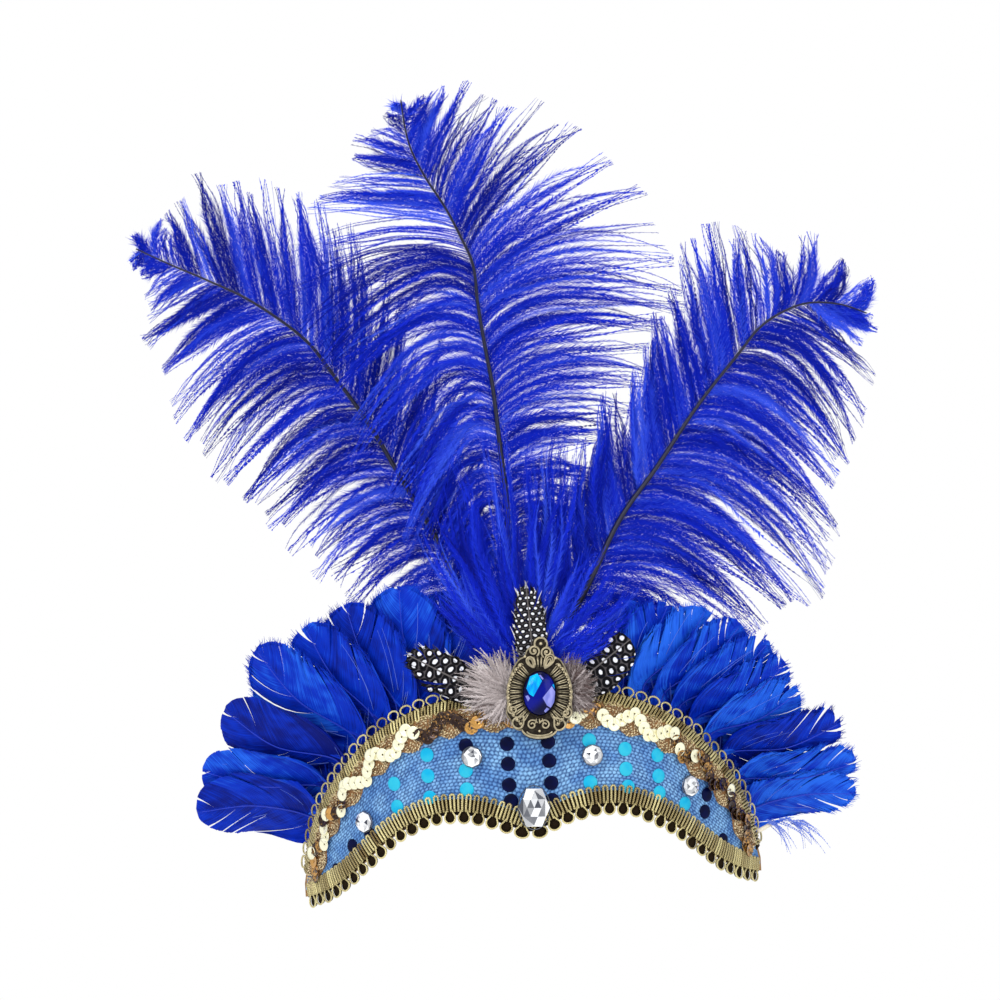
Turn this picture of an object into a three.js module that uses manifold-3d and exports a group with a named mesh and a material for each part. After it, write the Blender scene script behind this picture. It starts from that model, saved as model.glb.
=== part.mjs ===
// A showgirl's feather headdress. A crescent band bends round the forehead. It carries gold trims,
// cut stones, a brooch, a fan of goose feathers and three tall ostrich plumes.
// Millimetres. +Z is up, -Y is the front, and the origin is the inner face of the band at the middle
// of the forehead.

import * as THREE from 'three'
import { mergeVertices } from 'three/addons/utils/BufferGeometryUtils.js'
import Module from 'manifold-3d'

const wasm = await Module()
wasm.setup()

// Driving sizes
const HEAD_RADIUS = 97
const FELT_THICKNESS = 1.2
const CLOTH_THICKNESS = 2
const QUILL_POCKET = 3.2
const SEAT_GAP = 0.3
const HEM_HEIGHT = 4
const TRIM_THICKNESS = 1.3
const GIMP_WIDTH = 6.7
const UPPER_GIMP_WIDTH = 3.1
const SEQUIN_BRAID_INSET = 3.4
const SEQUIN_BRAID_WIDTH = 10.9
const SEQUIN_BRAID_END = 13
const LOWER_BRAID_END = 3
const UPPER_BRAID_END = 6
const SCALLOP_PITCH = 20
const SCALLOP_DEPTH = 0.6
const SEQUIN_DIAMETER = 5.5
const SEQUIN_WAVE = 2
const SEQUIN_RISE = 0.8
const PICOT_PITCH = 6.1
const PICOT_WIDTH = 4.8
const PICOT_HEIGHT = 4
const PICOT_CORD = 0.9
const ROUND_STONE_DIAMETER = 8
const OVAL_STONE_WIDTH = 13
const OVAL_STONE_HEIGHT = 18
const BROOCH_WIDTH = 26
const BROOCH_HEIGHT = 41
const BROOCH_TURN = 3.3
const OSTRICH_QUILL_DIAMETER = 2.6

// Locks of the ostrich plumes
const LOCKS_PER_SIDE = 12
const LOCK_COLUMNS = 3
const LOCK_THICKNESS = 2.4
const LOCK_RIDGE = 1.6
const NOTCH_REACH = 0.8
const BARB_LEAN = 42
const PLUME_TOP_SHARE = 0.98

// How the plumes stand
const POCKET_TOP = 30
const PLUME_CLEAR_HEIGHT = 108
const PLUME_WRAP_WIDTH = 60
const SIDE_SWEEP = 0.0017
const TIP_CURL_START = 120
const TIP_CURL = 0.0011
const TUFT_DEPTH = -6.2
const TUFT_CURL = 0.0012
const TUFT_CURL_START = 60
const TUFT_ROOT_X = 2.6
const TUFT_ROOT_Z = 38

// Depths are measured outwards from the inner face of the band
const PANEL_BACK = FELT_THICKNESS + QUILL_POCKET
const PANEL_FRONT = PANEL_BACK + CLOTH_THICKNESS
const QUILL_DEPTH = FELT_THICKNESS + QUILL_POCKET / 2
const TRIM_BACK = PANEL_FRONT + SEAT_GAP
const TRIM_FRONT = TRIM_BACK + TRIM_THICKNESS
const SEQUIN_FRONT = TRIM_FRONT + SEQUIN_RISE
const CHART_RADIUS = HEAD_RADIUS + PANEL_FRONT

// The band's outline: angle round the head from the front, and the heights of its two edges.
// Both halves of the band are alike.
const BAND_OUTLINE = [
  { angle: 0, low: -24.5, high: 29 },
  { angle: 5, low: -21.5, high: 29 },
  { angle: 10, low: -18.2, high: 28.8 },
  { angle: 16, low: -16.6, high: 27.8 },
  { angle: 22, low: -17.5, high: 25.6 },
  { angle: 28, low: -21.3, high: 21.8 },
  { angle: 34, low: -27.2, high: 16.7 },
  { angle: 40, low: -34.8, high: 9.6 },
  { angle: 46, low: -42, high: 0.8 },
  { angle: 52, low: -46.8, high: -8.5 },
  { angle: 57, low: -49.3, high: -18.5 },
  { angle: 61, low: -50.6, high: -30 },
  { angle: 65, low: -51.6, high: -46 },
]

// Ostrich plumes. A spine holds points of the quill in the front view, from the band up. Each side
// holds rows of at, the share of the spine where a barb leaves it, and x and z, where its tip ends.
// depth is how far back the plume stands once it is clear of the band.
const PLUMES = {
  ostrich_left: {
    depth: 28,
    innerSide: 1,
    spine: [[-8, 8], [-8, 30], [-13, 48], [-23, 71], [-33, 96], [-44, 117], [-70, 162],
      [-101, 193], [-133, 210], [-148, 218]],
    outer: [
      { at: 0.27, x: -58, z: 62 },
      { at: 0.35, x: -76, z: 79 },
      { at: 0.54, x: -107, z: 114 },
      { at: 0.71, x: -133, z: 142 },
      { at: 0.8, x: -142, z: 166 },
      { at: 0.88, x: -147, z: 186 },
      { at: 0.98, x: -149, z: 210 },
    ],
    inner: [
      { at: 0.27, x: -12, z: 107 },
      { at: 0.35, x: -17, z: 139 },
      { at: 0.44, x: -27, z: 168 },
      { at: 0.53, x: -46, z: 193 },
      { at: 0.64, x: -76, z: 233 },
      { at: 0.73, x: -97, z: 236 },
      { at: 0.82, x: -114, z: 240 },
      { at: 0.98, x: -145, z: 226 },
    ],
  },
  ostrich_centre: {
    depth: 17,
    innerSide: 1,
    spine: [[-3.2, 8], [-3.2, 30], [-3, 74], [-2, 103], [-4, 137], [-9, 185], [-14, 212],
      [-27, 237], [-34, 257], [-35, 268]],
    outer: [
      { at: 0.28, x: -26, z: 66 },
      { at: 0.43, x: -37, z: 86 },
      { at: 0.54, x: -54, z: 117 },
      { at: 0.67, x: -76, z: 164 },
      { at: 0.75, x: -85, z: 191 },
      { at: 0.79, x: -78, z: 221 },
      { at: 0.87, x: -61, z: 240 },
      { at: 0.98, x: -43, z: 265 },
    ],
    inner: [
      { at: 0.28, x: 26, z: 92 },
      { at: 0.43, x: 44, z: 124 },
      { at: 0.54, x: 61, z: 163 },
      { at: 0.64, x: 74, z: 195 },
      { at: 0.7, x: 63, z: 226 },
      { at: 0.77, x: 28, z: 256 },
      { at: 0.85, x: -3, z: 269 },
      { at: 0.98, x: -26, z: 268 },
    ],
  },
  ostrich_right: {
    depth: 6,
    innerSide: -1,
    spine: [[8.5, 8], [8.5, 30], [15, 49], [28, 71], [43, 96], [59, 117], [84, 148], [103, 169],
      [124, 179], [138, 178], [149, 174]],
    outer: [
      { at: 0.32, x: 86, z: 66 },
      { at: 0.43, x: 112, z: 62 },
      { at: 0.55, x: 129, z: 76 },
      { at: 0.62, x: 127, z: 100 },
      { at: 0.71, x: 136, z: 114 },
      { at: 0.84, x: 149, z: 149 },
      { at: 0.98, x: 151, z: 168 },
    ],
    inner: [
      { at: 0.32, x: 32, z: 126 },
      { at: 0.43, x: 46, z: 146 },
      { at: 0.55, x: 61, z: 171 },
      { at: 0.69, x: 76, z: 208 },
      { at: 0.81, x: 103, z: 210 },
      { at: 0.91, x: 137, z: 198 },
      { at: 0.98, x: 149, z: 184 },
    ],
  },
}

// The short tuft in front of the quills: tips of its locks in the front view
const TUFT_TIPS = [
  { x: -34, z: 60 },
  { x: -37, z: 86 },
  { x: -31, z: 113 },
  { x: -23, z: 136 },
  { x: -9, z: 146 },
  { x: 3, z: 120 },
  { x: 15, z: 138 },
  { x: 28, z: 145 },
  { x: 40, z: 126 },
  { x: 45, z: 96 },
  { x: 44, z: 66 },
]

// Goose feathers: where the feather leaves the band, as an angle round the head, its tip, its greatest
// width and how far its middle bows sideways in the front view.
const GOOSE_FEATHERS = {
  left: {
    goose_left_1: { angle: -59, x: -136, y: 46, z: -14, width: 26, bow: -4 },
    goose_left_2: { angle: -54, x: -133, y: 43.5, z: 3, width: 27.5, bow: 3 },
    goose_left_3: { angle: -48.5, x: -122, y: 33, z: 28, width: 33, bow: 5 },
    goose_left_4: { angle: -42.5, x: -107, y: 22, z: 52, width: 34, bow: 4 },
    goose_left_5: { angle: -36.5, x: -86, y: 12, z: 60, width: 33, bow: 3 },
    goose_left_6: { angle: -30.5, x: -69, y: 5, z: 68, width: 32, bow: 3 },
    goose_left_7: { angle: -24.5, x: -47, y: -1, z: 74, width: 30, bow: 2 },
    goose_left_8: { angle: -18, x: -28, y: -1, z: 71, width: 24, bow: 1 },
  },
  right: {
    goose_right_1: { angle: 61.5, x: 134, y: 49, z: -22, width: 21, bow: 3 },
    goose_right_2: { angle: 57, x: 135, y: 46, z: -9, width: 27, bow: -3 },
    goose_right_3: { angle: 52, x: 129, y: 37, z: 8, width: 31, bow: -4 },
    goose_right_4: { angle: 47, x: 112, y: 28, z: 22, width: 29, bow: -3 },
    goose_right_5: { angle: 42.5, x: 107, y: 21, z: 34, width: 30, bow: -4 },
    goose_right_6: { angle: 38, x: 100, y: 15, z: 43, width: 30, bow: -4 },
    goose_right_7: { angle: 33.5, x: 89, y: 9, z: 51, width: 29, bow: -3 },
    goose_right_8: { angle: 28.5, x: 75, y: 4, z: 58, width: 28, bow: -3 },
    goose_right_9: { angle: 23.5, x: 60, y: 0, z: 61, width: 26, bow: -2 },
    goose_right_10: { angle: 18.5, x: 48, y: -2, z: 62, width: 23, bow: -2 },
  },
}
const GOOSE_TILT = 11
const GOOSE_SEATED = 7
const GOOSE_QUILL = 1.6
const GOOSE_VANE_START = 0.3
const GOOSE_THICKNESS = 0.6

// Guinea feathers: root and tip in the front view, the depth of what the root lies on, and y of the tip
const GUINEA_THICKNESS = 0.8
const GUINEA_FEATHERS = {
  guinea_left: { rootX: -9, rootZ: 26, on: SEQUIN_FRONT, x: -45, y: -7, z: 47, width: 19 },
  guinea_centre: { rootX: 5.5, rootZ: 28.5, on: TRIM_FRONT, x: 3.7, y: -13, z: 72, width: 13 },
  guinea_right: { rootX: 15, rootZ: 27, on: TRIM_FRONT, x: 44, y: -5.5, z: 48, width: 20 },
}

// Down tufts: root, how far back it lies, and the spread of its locks as directions in the front view
// with their reach
const DOWN_BACK = SEQUIN_FRONT + SEAT_GAP + GUINEA_THICKNESS + SEAT_GAP
const DOWN_THICKNESS = 2.4
const DOWN_LEAN = 0.05
const DOWN_TUFTS = {
  down_left: {
    root: [-7.5, 29],
    back: DOWN_BACK,
    locks: [
      { direction: 112, reach: 20 },
      { direction: 137, reach: 22 },
      { direction: 160, reach: 21 },
      { direction: 184, reach: 20 },
      { direction: 208, reach: 18 },
      { direction: 236, reach: 15 },
    ],
  },
  down_right: {
    root: [20.5, 29],
    back: DOWN_BACK + 0.15,
    locks: [
      { direction: 74, reach: 17 },
      { direction: 49, reach: 18 },
      { direction: 22, reach: 16 },
      { direction: -4, reach: 14 },
      { direction: -32, reach: 11 },
    ],
  },
}

// Round stones on the cloth: place in the front view
const ROUND_STONES = {
  stone_left_outer: [-66, -20],
  stone_left_inner: [-21.5, 4.8],
  stone_right_inner: [26, 2.6],
  stone_right_outer: [64.5, -13],
}
const DROP_STONE = [1.8, -16.5]

// Brooch: its middle in the front view, and the sizes of its frame
const BROOCH_MIDDLE = [6.5, 28.9]
const BROOCH_BACK = DOWN_BACK + DOWN_THICKNESS + 0.4
const BROOCH_PLATE = 1.6
const BROOCH_RIBS = 16
const BEZEL_HEIGHT = 2.2

const COLOURS = {
  cloth: 0x5f93d6,
  felt: 0x15151c,
  gold: 0xc9a352,
  sequins: 0xe8d9a0,
  crystal: 0xe6ecf2,
  sapphire: 0x0f4fb8,
  bronze: 0x6b5a3a,
  ostrich: 0x2038c8,
  goose: 0x0c2cc0,
  guinea: 0x1c1c20,
  down: 0xb9a9a4,
}

const METALS = new Set(['gold', 'sequins', 'bronze'])
const radians = THREE.MathUtils.degToRad
const lerp = THREE.MathUtils.lerp
const smoothstep = THREE.MathUtils.smoothstep

// Points on the band

function onBand(arc, z, depth) {
  const turn = arc / CHART_RADIUS
  const radius = HEAD_RADIUS + depth
  return new THREE.Vector3(radius * Math.sin(turn), HEAD_RADIUS - radius * Math.cos(turn), z)
}

function arcOfAngle(angle) {
  return CHART_RADIUS * radians(angle)
}

function arcOfX(x, depth) {
  return CHART_RADIUS * Math.asin(x / (HEAD_RADIUS + depth))
}

function edgeCurve(height) {
  const right = BAND_OUTLINE.map((row) => new THREE.Vector2(arcOfAngle(row.angle), row[height]))
  const left = right.slice(1).reverse().map((p) => new THREE.Vector2(-p.x, p.y))
  const curve = new THREE.SplineCurve([...left, ...right])
  curve.arcLengthDivisions = 800
  return curve
}

const LOWER_EDGE = edgeCurve('low')
const UPPER_EDGE = edgeCurve('high')

// A frame on an edge: inward points from the edge into the band
function edgeFrame(edge, distance, inwardSign) {
  const share = THREE.MathUtils.clamp(distance / edge.getLength(), 0, 1)
  const point = edge.getPointAt(share)
  const along = edge.getTangentAt(share)
  const inward = new THREE.Vector2(-along.y, along.x).multiplyScalar(inwardSign)
  return { point, along, inward }
}

function edgeHeight(height, angle) {
  const rows = BAND_OUTLINE
  const a = Math.abs(angle)
  const next = Math.max(1, rows.findIndex((row) => row.angle >= a))
  const from = rows[next - 1]
  const to = rows[next]
  return lerp(from[height], to[height], (a - from.angle) / (to.angle - from.angle))
}

// Solids from points

function closedGeometry(points, faces) {
  const geometry = new THREE.BufferGeometry()
  const flat = points.flatMap((p) => [p.x, p.y, p.z])
  geometry.setAttribute('position', new THREE.Float32BufferAttribute(flat, 3))
  let volume = 0
  for (const [a, b, c] of faces) {
    volume += points[a].dot(new THREE.Vector3().crossVectors(points[b], points[c]))
  }
  const outward = volume > 0 ? faces : faces.map(([a, b, c]) => [a, c, b])
  geometry.setIndex(outward.flat())
  return geometry
}

// Closes a section as a fan from its first point
function fanCap(sides) {
  return Array.from({ length: sides - 2 }, (_, i) => [0, i + 2, i + 1])
}

// Closes a section whose second half runs back beside its first, as a thin bowed one does
function zipCap(sides) {
  return Array.from({ length: sides / 2 - 1 }, (_, i) => [
    [i, sides - 1 - i, i + 1],
    [i + 1, sides - 1 - i, sides - 2 - i],
  ]).flat()
}

// Joins a row of sections with the same number of points into one closed skin. The second half of a
// thin section runs back behind the first, so its stretches are cut along the other diagonal. Both
// faces of a twisted sheet then bend alike, and it keeps its thickness.
function loft(sections, cap = fanCap, thin = false) {
  const sides = sections[0].length
  const faces = []
  for (let row = 0; row + 1 < sections.length; row++) {
    for (let side = 0; side < sides; side++) {
      const a = row * sides + side
      const b = row * sides + ((side + 1) % sides)
      if (thin && side >= sides / 2) faces.push([a, b, b + sides], [a, b + sides, a + sides])
      else faces.push([a, b, a + sides], [b, b + sides, a + sides])
    }
  }
  const last = (sections.length - 1) * sides
  for (const [a, b, c] of cap(sides)) faces.push([a, b, c], [last + a, last + c, last + b])
  return closedGeometry(sections.flat(), faces)
}

// A thin sheet spanned by rows of points. It is as thick as the law says for each row and column.
function sheet(rows, thickness) {
  return loft(rows.map((row, i) => {
    const side = (sign) => row.map((p, j) => new THREE.Vector3(p.x, p.y + (sign * thickness(i, j)) / 2, p.z))
    return [...side(-1), ...side(1).reverse()]
  }), zipCap, true)
}

// A flat net of triangles made into a closed plate. place turns a point and a depth into space.
function plate(points, triangles, place, back, front) {
  const count = points.length
  const faces = triangles.flatMap(([a, b, c]) => [[a, b, c], [a + count, c + count, b + count]])
  const used = new Set(triangles.flatMap(([a, b, c]) => [`${a} ${b}`, `${b} ${c}`, `${c} ${a}`]))
  for (const edge of used) {
    const [a, b] = edge.split(' ').map(Number)
    if (!used.has(`${b} ${a}`)) faces.push([b, a, a + count], [b, a + count, b + count])
  }
  return closedGeometry([front, back].flatMap((depth) => points.map((p) => place(p, depth))), faces)
}

function toManifold(geometry) {
  const bare = geometry.clone()
  bare.deleteAttribute('normal')
  bare.deleteAttribute('uv')
  const merged = mergeVertices(bare, 1e-4)
  return new wasm.Manifold(new wasm.Mesh({
    numProp: 3,
    vertProperties: new Float32Array(merged.attributes.position.array),
    triVerts: new Uint32Array(merged.index.array),
  }))
}

function fromManifold(solid) {
  const mesh = solid.getMesh()
  const geometry = new THREE.BufferGeometry()
  geometry.setAttribute('position', new THREE.Float32BufferAttribute(mesh.vertProperties, 3))
  geometry.setIndex(new THREE.BufferAttribute(mesh.triVerts, 1))
  return geometry
}

// Joins overlapping pieces into one body. Small voids sealed between them are filled, because only the
// outer skin is kept.
function fuse(geometries) {
  const [first, ...rest] = geometries.map(toManifold)
  const whole = rest.reduce((joined, piece) => joined.add(piece), first)
  const skins = whole.decompose()
  skins.sort((a, b) => b.volume() - a.volume())
  return fromManifold(skins[0])
}

// Band

function bandSections(corners) {
  const left = BAND_OUTLINE.slice(1).reverse().map((row) => ({ ...row, angle: -row.angle }))
  return [...left, ...BAND_OUTLINE].map(({ angle, low, high }) => corners(low, high).map(
    ([depth, z]) => onBand(arcOfAngle(angle), z, depth),
  ))
}

function bandPanel() {
  return loft(bandSections((low, high) => [
    [PANEL_BACK, low],
    [PANEL_FRONT, low],
    [PANEL_FRONT, high],
    [PANEL_BACK, high],
  ]))
}

// The felt is folded forward along the lower edge, up to the panel, as a sewn hem
function feltBacking() {
  const hemDepth = PANEL_BACK - SEAT_GAP
  return loft(bandSections((low, high) => {
    const hem = low + Math.min(HEM_HEIGHT, (high - low) / 2)
    return [
      [0, low],
      [hemDepth, low],
      [hemDepth, hem],
      [FELT_THICKNESS, hem],
      [FELT_THICKNESS, high],
      [0, high],
    ]
  }))
}

// Trims

// A place beside an edge of the band: v runs from the edge into the band
function besideEdge(edge, inwardSign, distance, v, depth) {
  const { point, inward } = edgeFrame(edge, distance, inwardSign)
  const place = point.addScaledVector(inward, v)
  return onBand(place.x, place.y, depth)
}

// Gimp with a picot loop on each pitch. The loops stand out from the edge of the band and are open.
function picotTrim(edge, inwardSign, endTrim, width) {
  const length = edge.getLength()
  const count = Math.floor((length - 2 * endTrim) / PICOT_PITCH)
  const start = (length - count * PICOT_PITCH) / 2
  const half = PICOT_PITCH / 2
  const outer = PICOT_WIDTH / 2
  const inner = outer - PICOT_CORD
  const shoulder = PICOT_HEIGHT * 0.6
  const points = []
  const triangles = []
  const add = (middle, u, v) => points.push(new THREE.Vector2(middle + u, -v)) - 1
  let left = [add(start, 0, 0), add(start, 0, -width)]
  for (let i = 0; i < count; i++) {
    const middle = start + (i + 0.5) * PICOT_PITCH
    const feet = [-outer, -inner, inner, outer].map((u) => add(middle, u, 0))
    const right = [add(middle, half, 0), add(middle, half, -width)]
    const arch = [[-outer, shoulder], [-outer * 0.4, PICOT_HEIGHT], [outer * 0.4, PICOT_HEIGHT],
      [outer, shoulder]].map(([u, v]) => add(middle, u, v))
    const crown = add(middle, 0, PICOT_HEIGHT - PICOT_CORD)
    triangles.push(
      [left[1], feet[0], left[0]],
      [left[1], feet[1], feet[0]],
      [left[1], feet[2], feet[1]],
      [left[1], right[1], feet[2]],
      [right[1], feet[3], feet[2]],
      [right[1], right[0], feet[3]],
      [feet[0], feet[1], arch[0]],
      [feet[1], crown, arch[0]],
      [arch[0], crown, arch[1]],
      [arch[1], crown, arch[2]],
      [arch[2], crown, arch[3]],
      [crown, feet[2], arch[3]],
      [feet[2], feet[3], arch[3]],
    )
    left = right
  }
  return plate(points, triangles, (p, depth) => besideEdge(edge, inwardSign, p.x, p.y, depth),
    TRIM_BACK, TRIM_FRONT)
}

// The woven ground is scalloped along its inner edge, and a raised chain of sequins waves along it. The
// chain swings away from each scallop.
function sequinBraid() {
  const from = SEQUIN_BRAID_END
  const to = UPPER_EDGE.getLength() - SEQUIN_BRAID_END
  const stations = Math.round((to - from) / (SCALLOP_PITCH / 4))
  const sections = []
  for (let i = 0; i <= stations; i++) {
    const distance = lerp(from, to, i / stations)
    const wave = Math.cos((2 * Math.PI * (distance - from)) / SCALLOP_PITCH)
    const far = SEQUIN_BRAID_INSET + SEQUIN_BRAID_WIDTH - SCALLOP_DEPTH * wave
    const chain = SEQUIN_BRAID_INSET + SEQUIN_BRAID_WIDTH / 2 + SEQUIN_WAVE * wave
    const reach = SEQUIN_DIAMETER / 2
    sections.push([
      [SEQUIN_BRAID_INSET, TRIM_BACK],
      [SEQUIN_BRAID_INSET, TRIM_FRONT],
      [chain - reach, TRIM_FRONT],
      [chain - reach + 0.2, SEQUIN_FRONT],
      [chain + reach - 0.2, SEQUIN_FRONT],
      [chain + reach, TRIM_FRONT],
      [far, TRIM_FRONT],
      [far, TRIM_BACK],
    ].map(([v, depth]) => besideEdge(UPPER_EDGE, -1, distance, v, depth)))
  }
  return loft(sections)
}

// Stones

// A cut stone: a girdle, a ring of facets and a flat table
function cutStone(width, height, rise, sides, place) {
  const rings = [
    { depth: 0, share: 0.86, turn: 0 },
    { depth: 0.28, share: 1, turn: 0 },
    { depth: 0.7, share: 0.82, turn: 0.5 },
    { depth: 1, share: 0.52, turn: 0.5 },
  ]
  return loft(rings.map((ring) => {
    const section = []
    for (let i = 0; i < sides; i++) {
      const angle = (2 * Math.PI * (i + ring.turn)) / sides
      const u = (width / 2) * ring.share * Math.cos(angle)
      const v = (height / 2) * ring.share * Math.sin(angle)
      section.push(place(u, v, rise * ring.depth))
    }
    return section
  }))
}

// Places flat work on the band: its back stays flat, and it faces out at its middle
function flatOnBand(x, z, depth, turn) {
  const arc = arcOfX(x, depth)
  const origin = onBand(arc, z, depth)
  const outward = onBand(arc, z, depth + 1).sub(origin)
  const across = new THREE.Vector3(0, 0, 1).cross(outward).normalize()
  const tilt = radians(turn)
  const up = new THREE.Vector3(0, 0, 1)
  const right = across.clone().multiplyScalar(Math.cos(tilt)).addScaledVector(up, -Math.sin(tilt))
  const top = across.clone().multiplyScalar(Math.sin(tilt)).addScaledVector(up, Math.cos(tilt))
  return (u, v, w) => origin.clone()
    .addScaledVector(right, u)
    .addScaledVector(top, v)
    .addScaledVector(outward, w)
}

// Brooch

function broochOutline() {
  const shape = new THREE.Shape()
  const right = BROOCH_WIDTH / 2
  const top = BROOCH_HEIGHT * 0.56
  const bottom = -BROOCH_HEIGHT * 0.44
  const half = [
    [0, top],
    [2.6, top - 1.4],
    [3.4, top - 4.4],
    [6.2, top - 6.6],
    [9.2, top - 10.4],
    [11.4, top - 14.8],
    [right, top - 21],
    [right - 0.2, top - 26.5],
    [right - 1.6, top - 31],
    [right - 4.2, top - 33.4],
    [7, bottom + 4.6],
    [6.6, bottom + 1.6],
    [3, bottom],
  ]
  const left = half.slice(1).reverse().map(([x, y]) => [-x, y])
  for (const [i, [x, y]] of [...half, ...left].entries()) {
    if (i === 0) shape.moveTo(x, y)
    else shape.lineTo(x, y)
  }
  return shape
}

// A wedge between two ribs, taller than the plate so that it cuts right through
function ribOpening(angle, halfAngle) {
  const inner = { x: 7.6, y: 10, shift: 0 }
  const outer = { x: 10.6, y: 14.2, shift: -0.4 }
  const at = (a, ring) => [ring.x * Math.sin(a), ring.y * Math.cos(a) + ring.shift]
  const shape = new THREE.Shape()
  shape.moveTo(...at(angle - halfAngle, inner))
  shape.lineTo(...at(angle - halfAngle, outer))
  shape.lineTo(...at(angle + halfAngle, outer))
  shape.lineTo(...at(angle + halfAngle, inner))
  const wedge = new THREE.ExtrudeGeometry(shape, { depth: BROOCH_PLATE + 2, bevelEnabled: false })
  wedge.translate(0, 0, -1)
  return wedge
}

function moved(geometry, place) {
  const position = geometry.attributes.position
  for (let i = 0; i < position.count; i++) {
    const point = place(position.getX(i), position.getY(i), position.getZ(i))
    position.setXYZ(i, point.x, point.y, point.z)
  }
  return geometry
}

function ringShape(outerX, outerY, innerX, innerY, x, y, segments) {
  const shape = new THREE.Shape()
  const hole = new THREE.Path()
  for (let i = 0; i < segments; i++) {
    const angle = (2 * Math.PI * i) / segments
    const out = [x + outerX * Math.cos(angle), y + outerY * Math.sin(angle)]
    const back = [x + innerX * Math.cos(angle), y + innerY * Math.sin(angle)]
    if (i === 0) {
      shape.moveTo(...out)
      hole.moveTo(...back)
    } else {
      shape.lineTo(...out)
      hole.lineTo(...back)
    }
  }
  shape.holes.push(hole)
  return shape
}

function broochFrame(place) {
  const plate = new THREE.ExtrudeGeometry(broochOutline(), { depth: BROOCH_PLATE, bevelEnabled: false })
  let pierced = toManifold(plate)
  for (let i = 0; i < BROOCH_RIBS; i++) {
    const angle = (2 * Math.PI * (i + 0.5)) / BROOCH_RIBS
    pierced = pierced.subtract(toManifold(ribOpening(angle, 0.42 * (Math.PI / BROOCH_RIBS))))
  }
  const parts = [fromManifold(pierced)]
  const bezel = ringShape(7, 9.4, 5.6, 8, 0, 0, 12)
  parts.push(new THREE.ExtrudeGeometry(bezel, { depth: BROOCH_PLATE + 0.9, bevelEnabled: false }))
  const scrolls = [
    { x: -3.6, y: 16.2, radius: 2.2 },
    { x: 3.6, y: 16.2, radius: 2.2 },
    { x: 0, y: 19.4, radius: 2.1 },
    { x: -3.1, y: -14.8, radius: 2.2 },
    { x: 3.1, y: -14.8, radius: 2.2 },
    { x: -9.3, y: -9.6, radius: 2.1 },
    { x: 9.3, y: -9.6, radius: 2.1 },
  ]
  for (const { x, y, radius } of scrolls) {
    const scroll = ringShape(radius, radius, radius * 0.5, radius * 0.5, x, y, 6)
    parts.push(new THREE.ExtrudeGeometry(scroll, { depth: BROOCH_PLATE + 0.6, bevelEnabled: false }))
  }
  const padDepth = BROOCH_BACK - SEQUIN_FRONT - SEAT_GAP
  const pad = new THREE.CylinderGeometry(1, 1, padDepth + 0.5, 12)
  pad.rotateX(Math.PI / 2)
  pad.scale(4.4, 5.2, 1)
  pad.translate(0, -6.4, 0.5 - (padDepth + 0.5) / 2)
  parts.push(pad)
  return moved(fuse(parts), place)
}

// Feathers

// A blade along a path: a flat section whose width and thickness follow the given laws
function blade(path, facing, widths, thicknesses, sectionCount) {
  const sections = []
  for (let i = 0; i <= sectionCount; i++) {
    const t = i / sectionCount
    const point = path.getPoint(t)
    const along = path.getTangent(t)
    const front = facing(t).normalize()
    const across = new THREE.Vector3().crossVectors(along, front).normalize()
    const out = new THREE.Vector3().crossVectors(across, along).normalize()
    const w = widths(t) / 2
    const h = thicknesses(t) / 2
    sections.push([[w, h], [-w, h], [-w, -h], [w, -h]].map(([u, v]) => point.clone()
      .addScaledVector(across, u)
      .addScaledVector(out, v)))
  }
  return loft(sections, fanCap, true)
}

function tube(path, radii, sides, sectionCount) {
  const sections = []
  for (let i = 0; i <= sectionCount; i++) {
    const t = i / sectionCount
    const point = path.getPointAt(t)
    const along = path.getTangentAt(t)
    const across = new THREE.Vector3(0, 1, 0).cross(along).normalize()
    const out = new THREE.Vector3().crossVectors(along, across).normalize()
    const section = []
    for (let side = 0; side < sides; side++) {
      const angle = (2 * Math.PI * side) / sides
      section.push(point.clone()
        .addScaledVector(across, radii(t) * Math.cos(angle))
        .addScaledVector(out, radii(t) * Math.sin(angle)))
    }
    sections.push(section)
  }
  return loft(sections)
}

// How far back a plume lies at a place of the front view. Quills rise out of the pocket, lean back to
// the plume's own depth, sweep back towards the sides and curl forward near the top.
function plumeDepth(depth, x, z) {
  const bandX = THREE.MathUtils.clamp(x, -PLUME_WRAP_WIDTH, PLUME_WRAP_WIDTH)
  const pocket = HEAD_RADIUS - Math.sqrt((HEAD_RADIUS + QUILL_DEPTH) ** 2 - bandX ** 2)
  const leaned = lerp(pocket, depth, smoothstep(z, POCKET_TOP, PLUME_CLEAR_HEIGHT))
  const sweep = SIDE_SWEEP * x * x * smoothstep(z, POCKET_TOP, POCKET_TOP + 25)
  const above = Math.max(0, z - TIP_CURL_START)
  return leaned + sweep - TIP_CURL * above * above
}

function tipAt(rows, at) {
  const next = rows.findIndex((row) => row.at >= at)
  if (next <= 0) return next === 0 ? rows[0] : rows[rows.length - 1]
  const from = rows[next - 1]
  const to = rows[next]
  const share = (at - from.at) / (to.at - from.at)
  return { x: lerp(from.x, to.x, share), z: lerp(from.z, to.z, share) }
}

// The line of one barb in the front view: it leaves the quill at a slant, bows and ends at its tip
function barbLine(spec, spine, at, side) {
  const root = spine.getPointAt(at)
  const tangent = spine.getTangentAt(at)
  const tip = tipAt(side > 0 ? spec.inner : spec.outer, at)
  const turn = -radians(BARB_LEAN) * side * spec.innerSide
  const leave = new THREE.Vector2(tangent.x, tangent.z).rotateAround(new THREE.Vector2(), turn)
  const reach = Math.hypot(tip.x - root.x, tip.z - root.z)
  return new THREE.QuadraticBezierCurve(
    new THREE.Vector2(root.x, root.z),
    new THREE.Vector2(root.x + (leave.x * reach) / 2, root.z + (leave.y * reach) / 2),
    new THREE.Vector2(tip.x, tip.z),
  )
}

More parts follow.
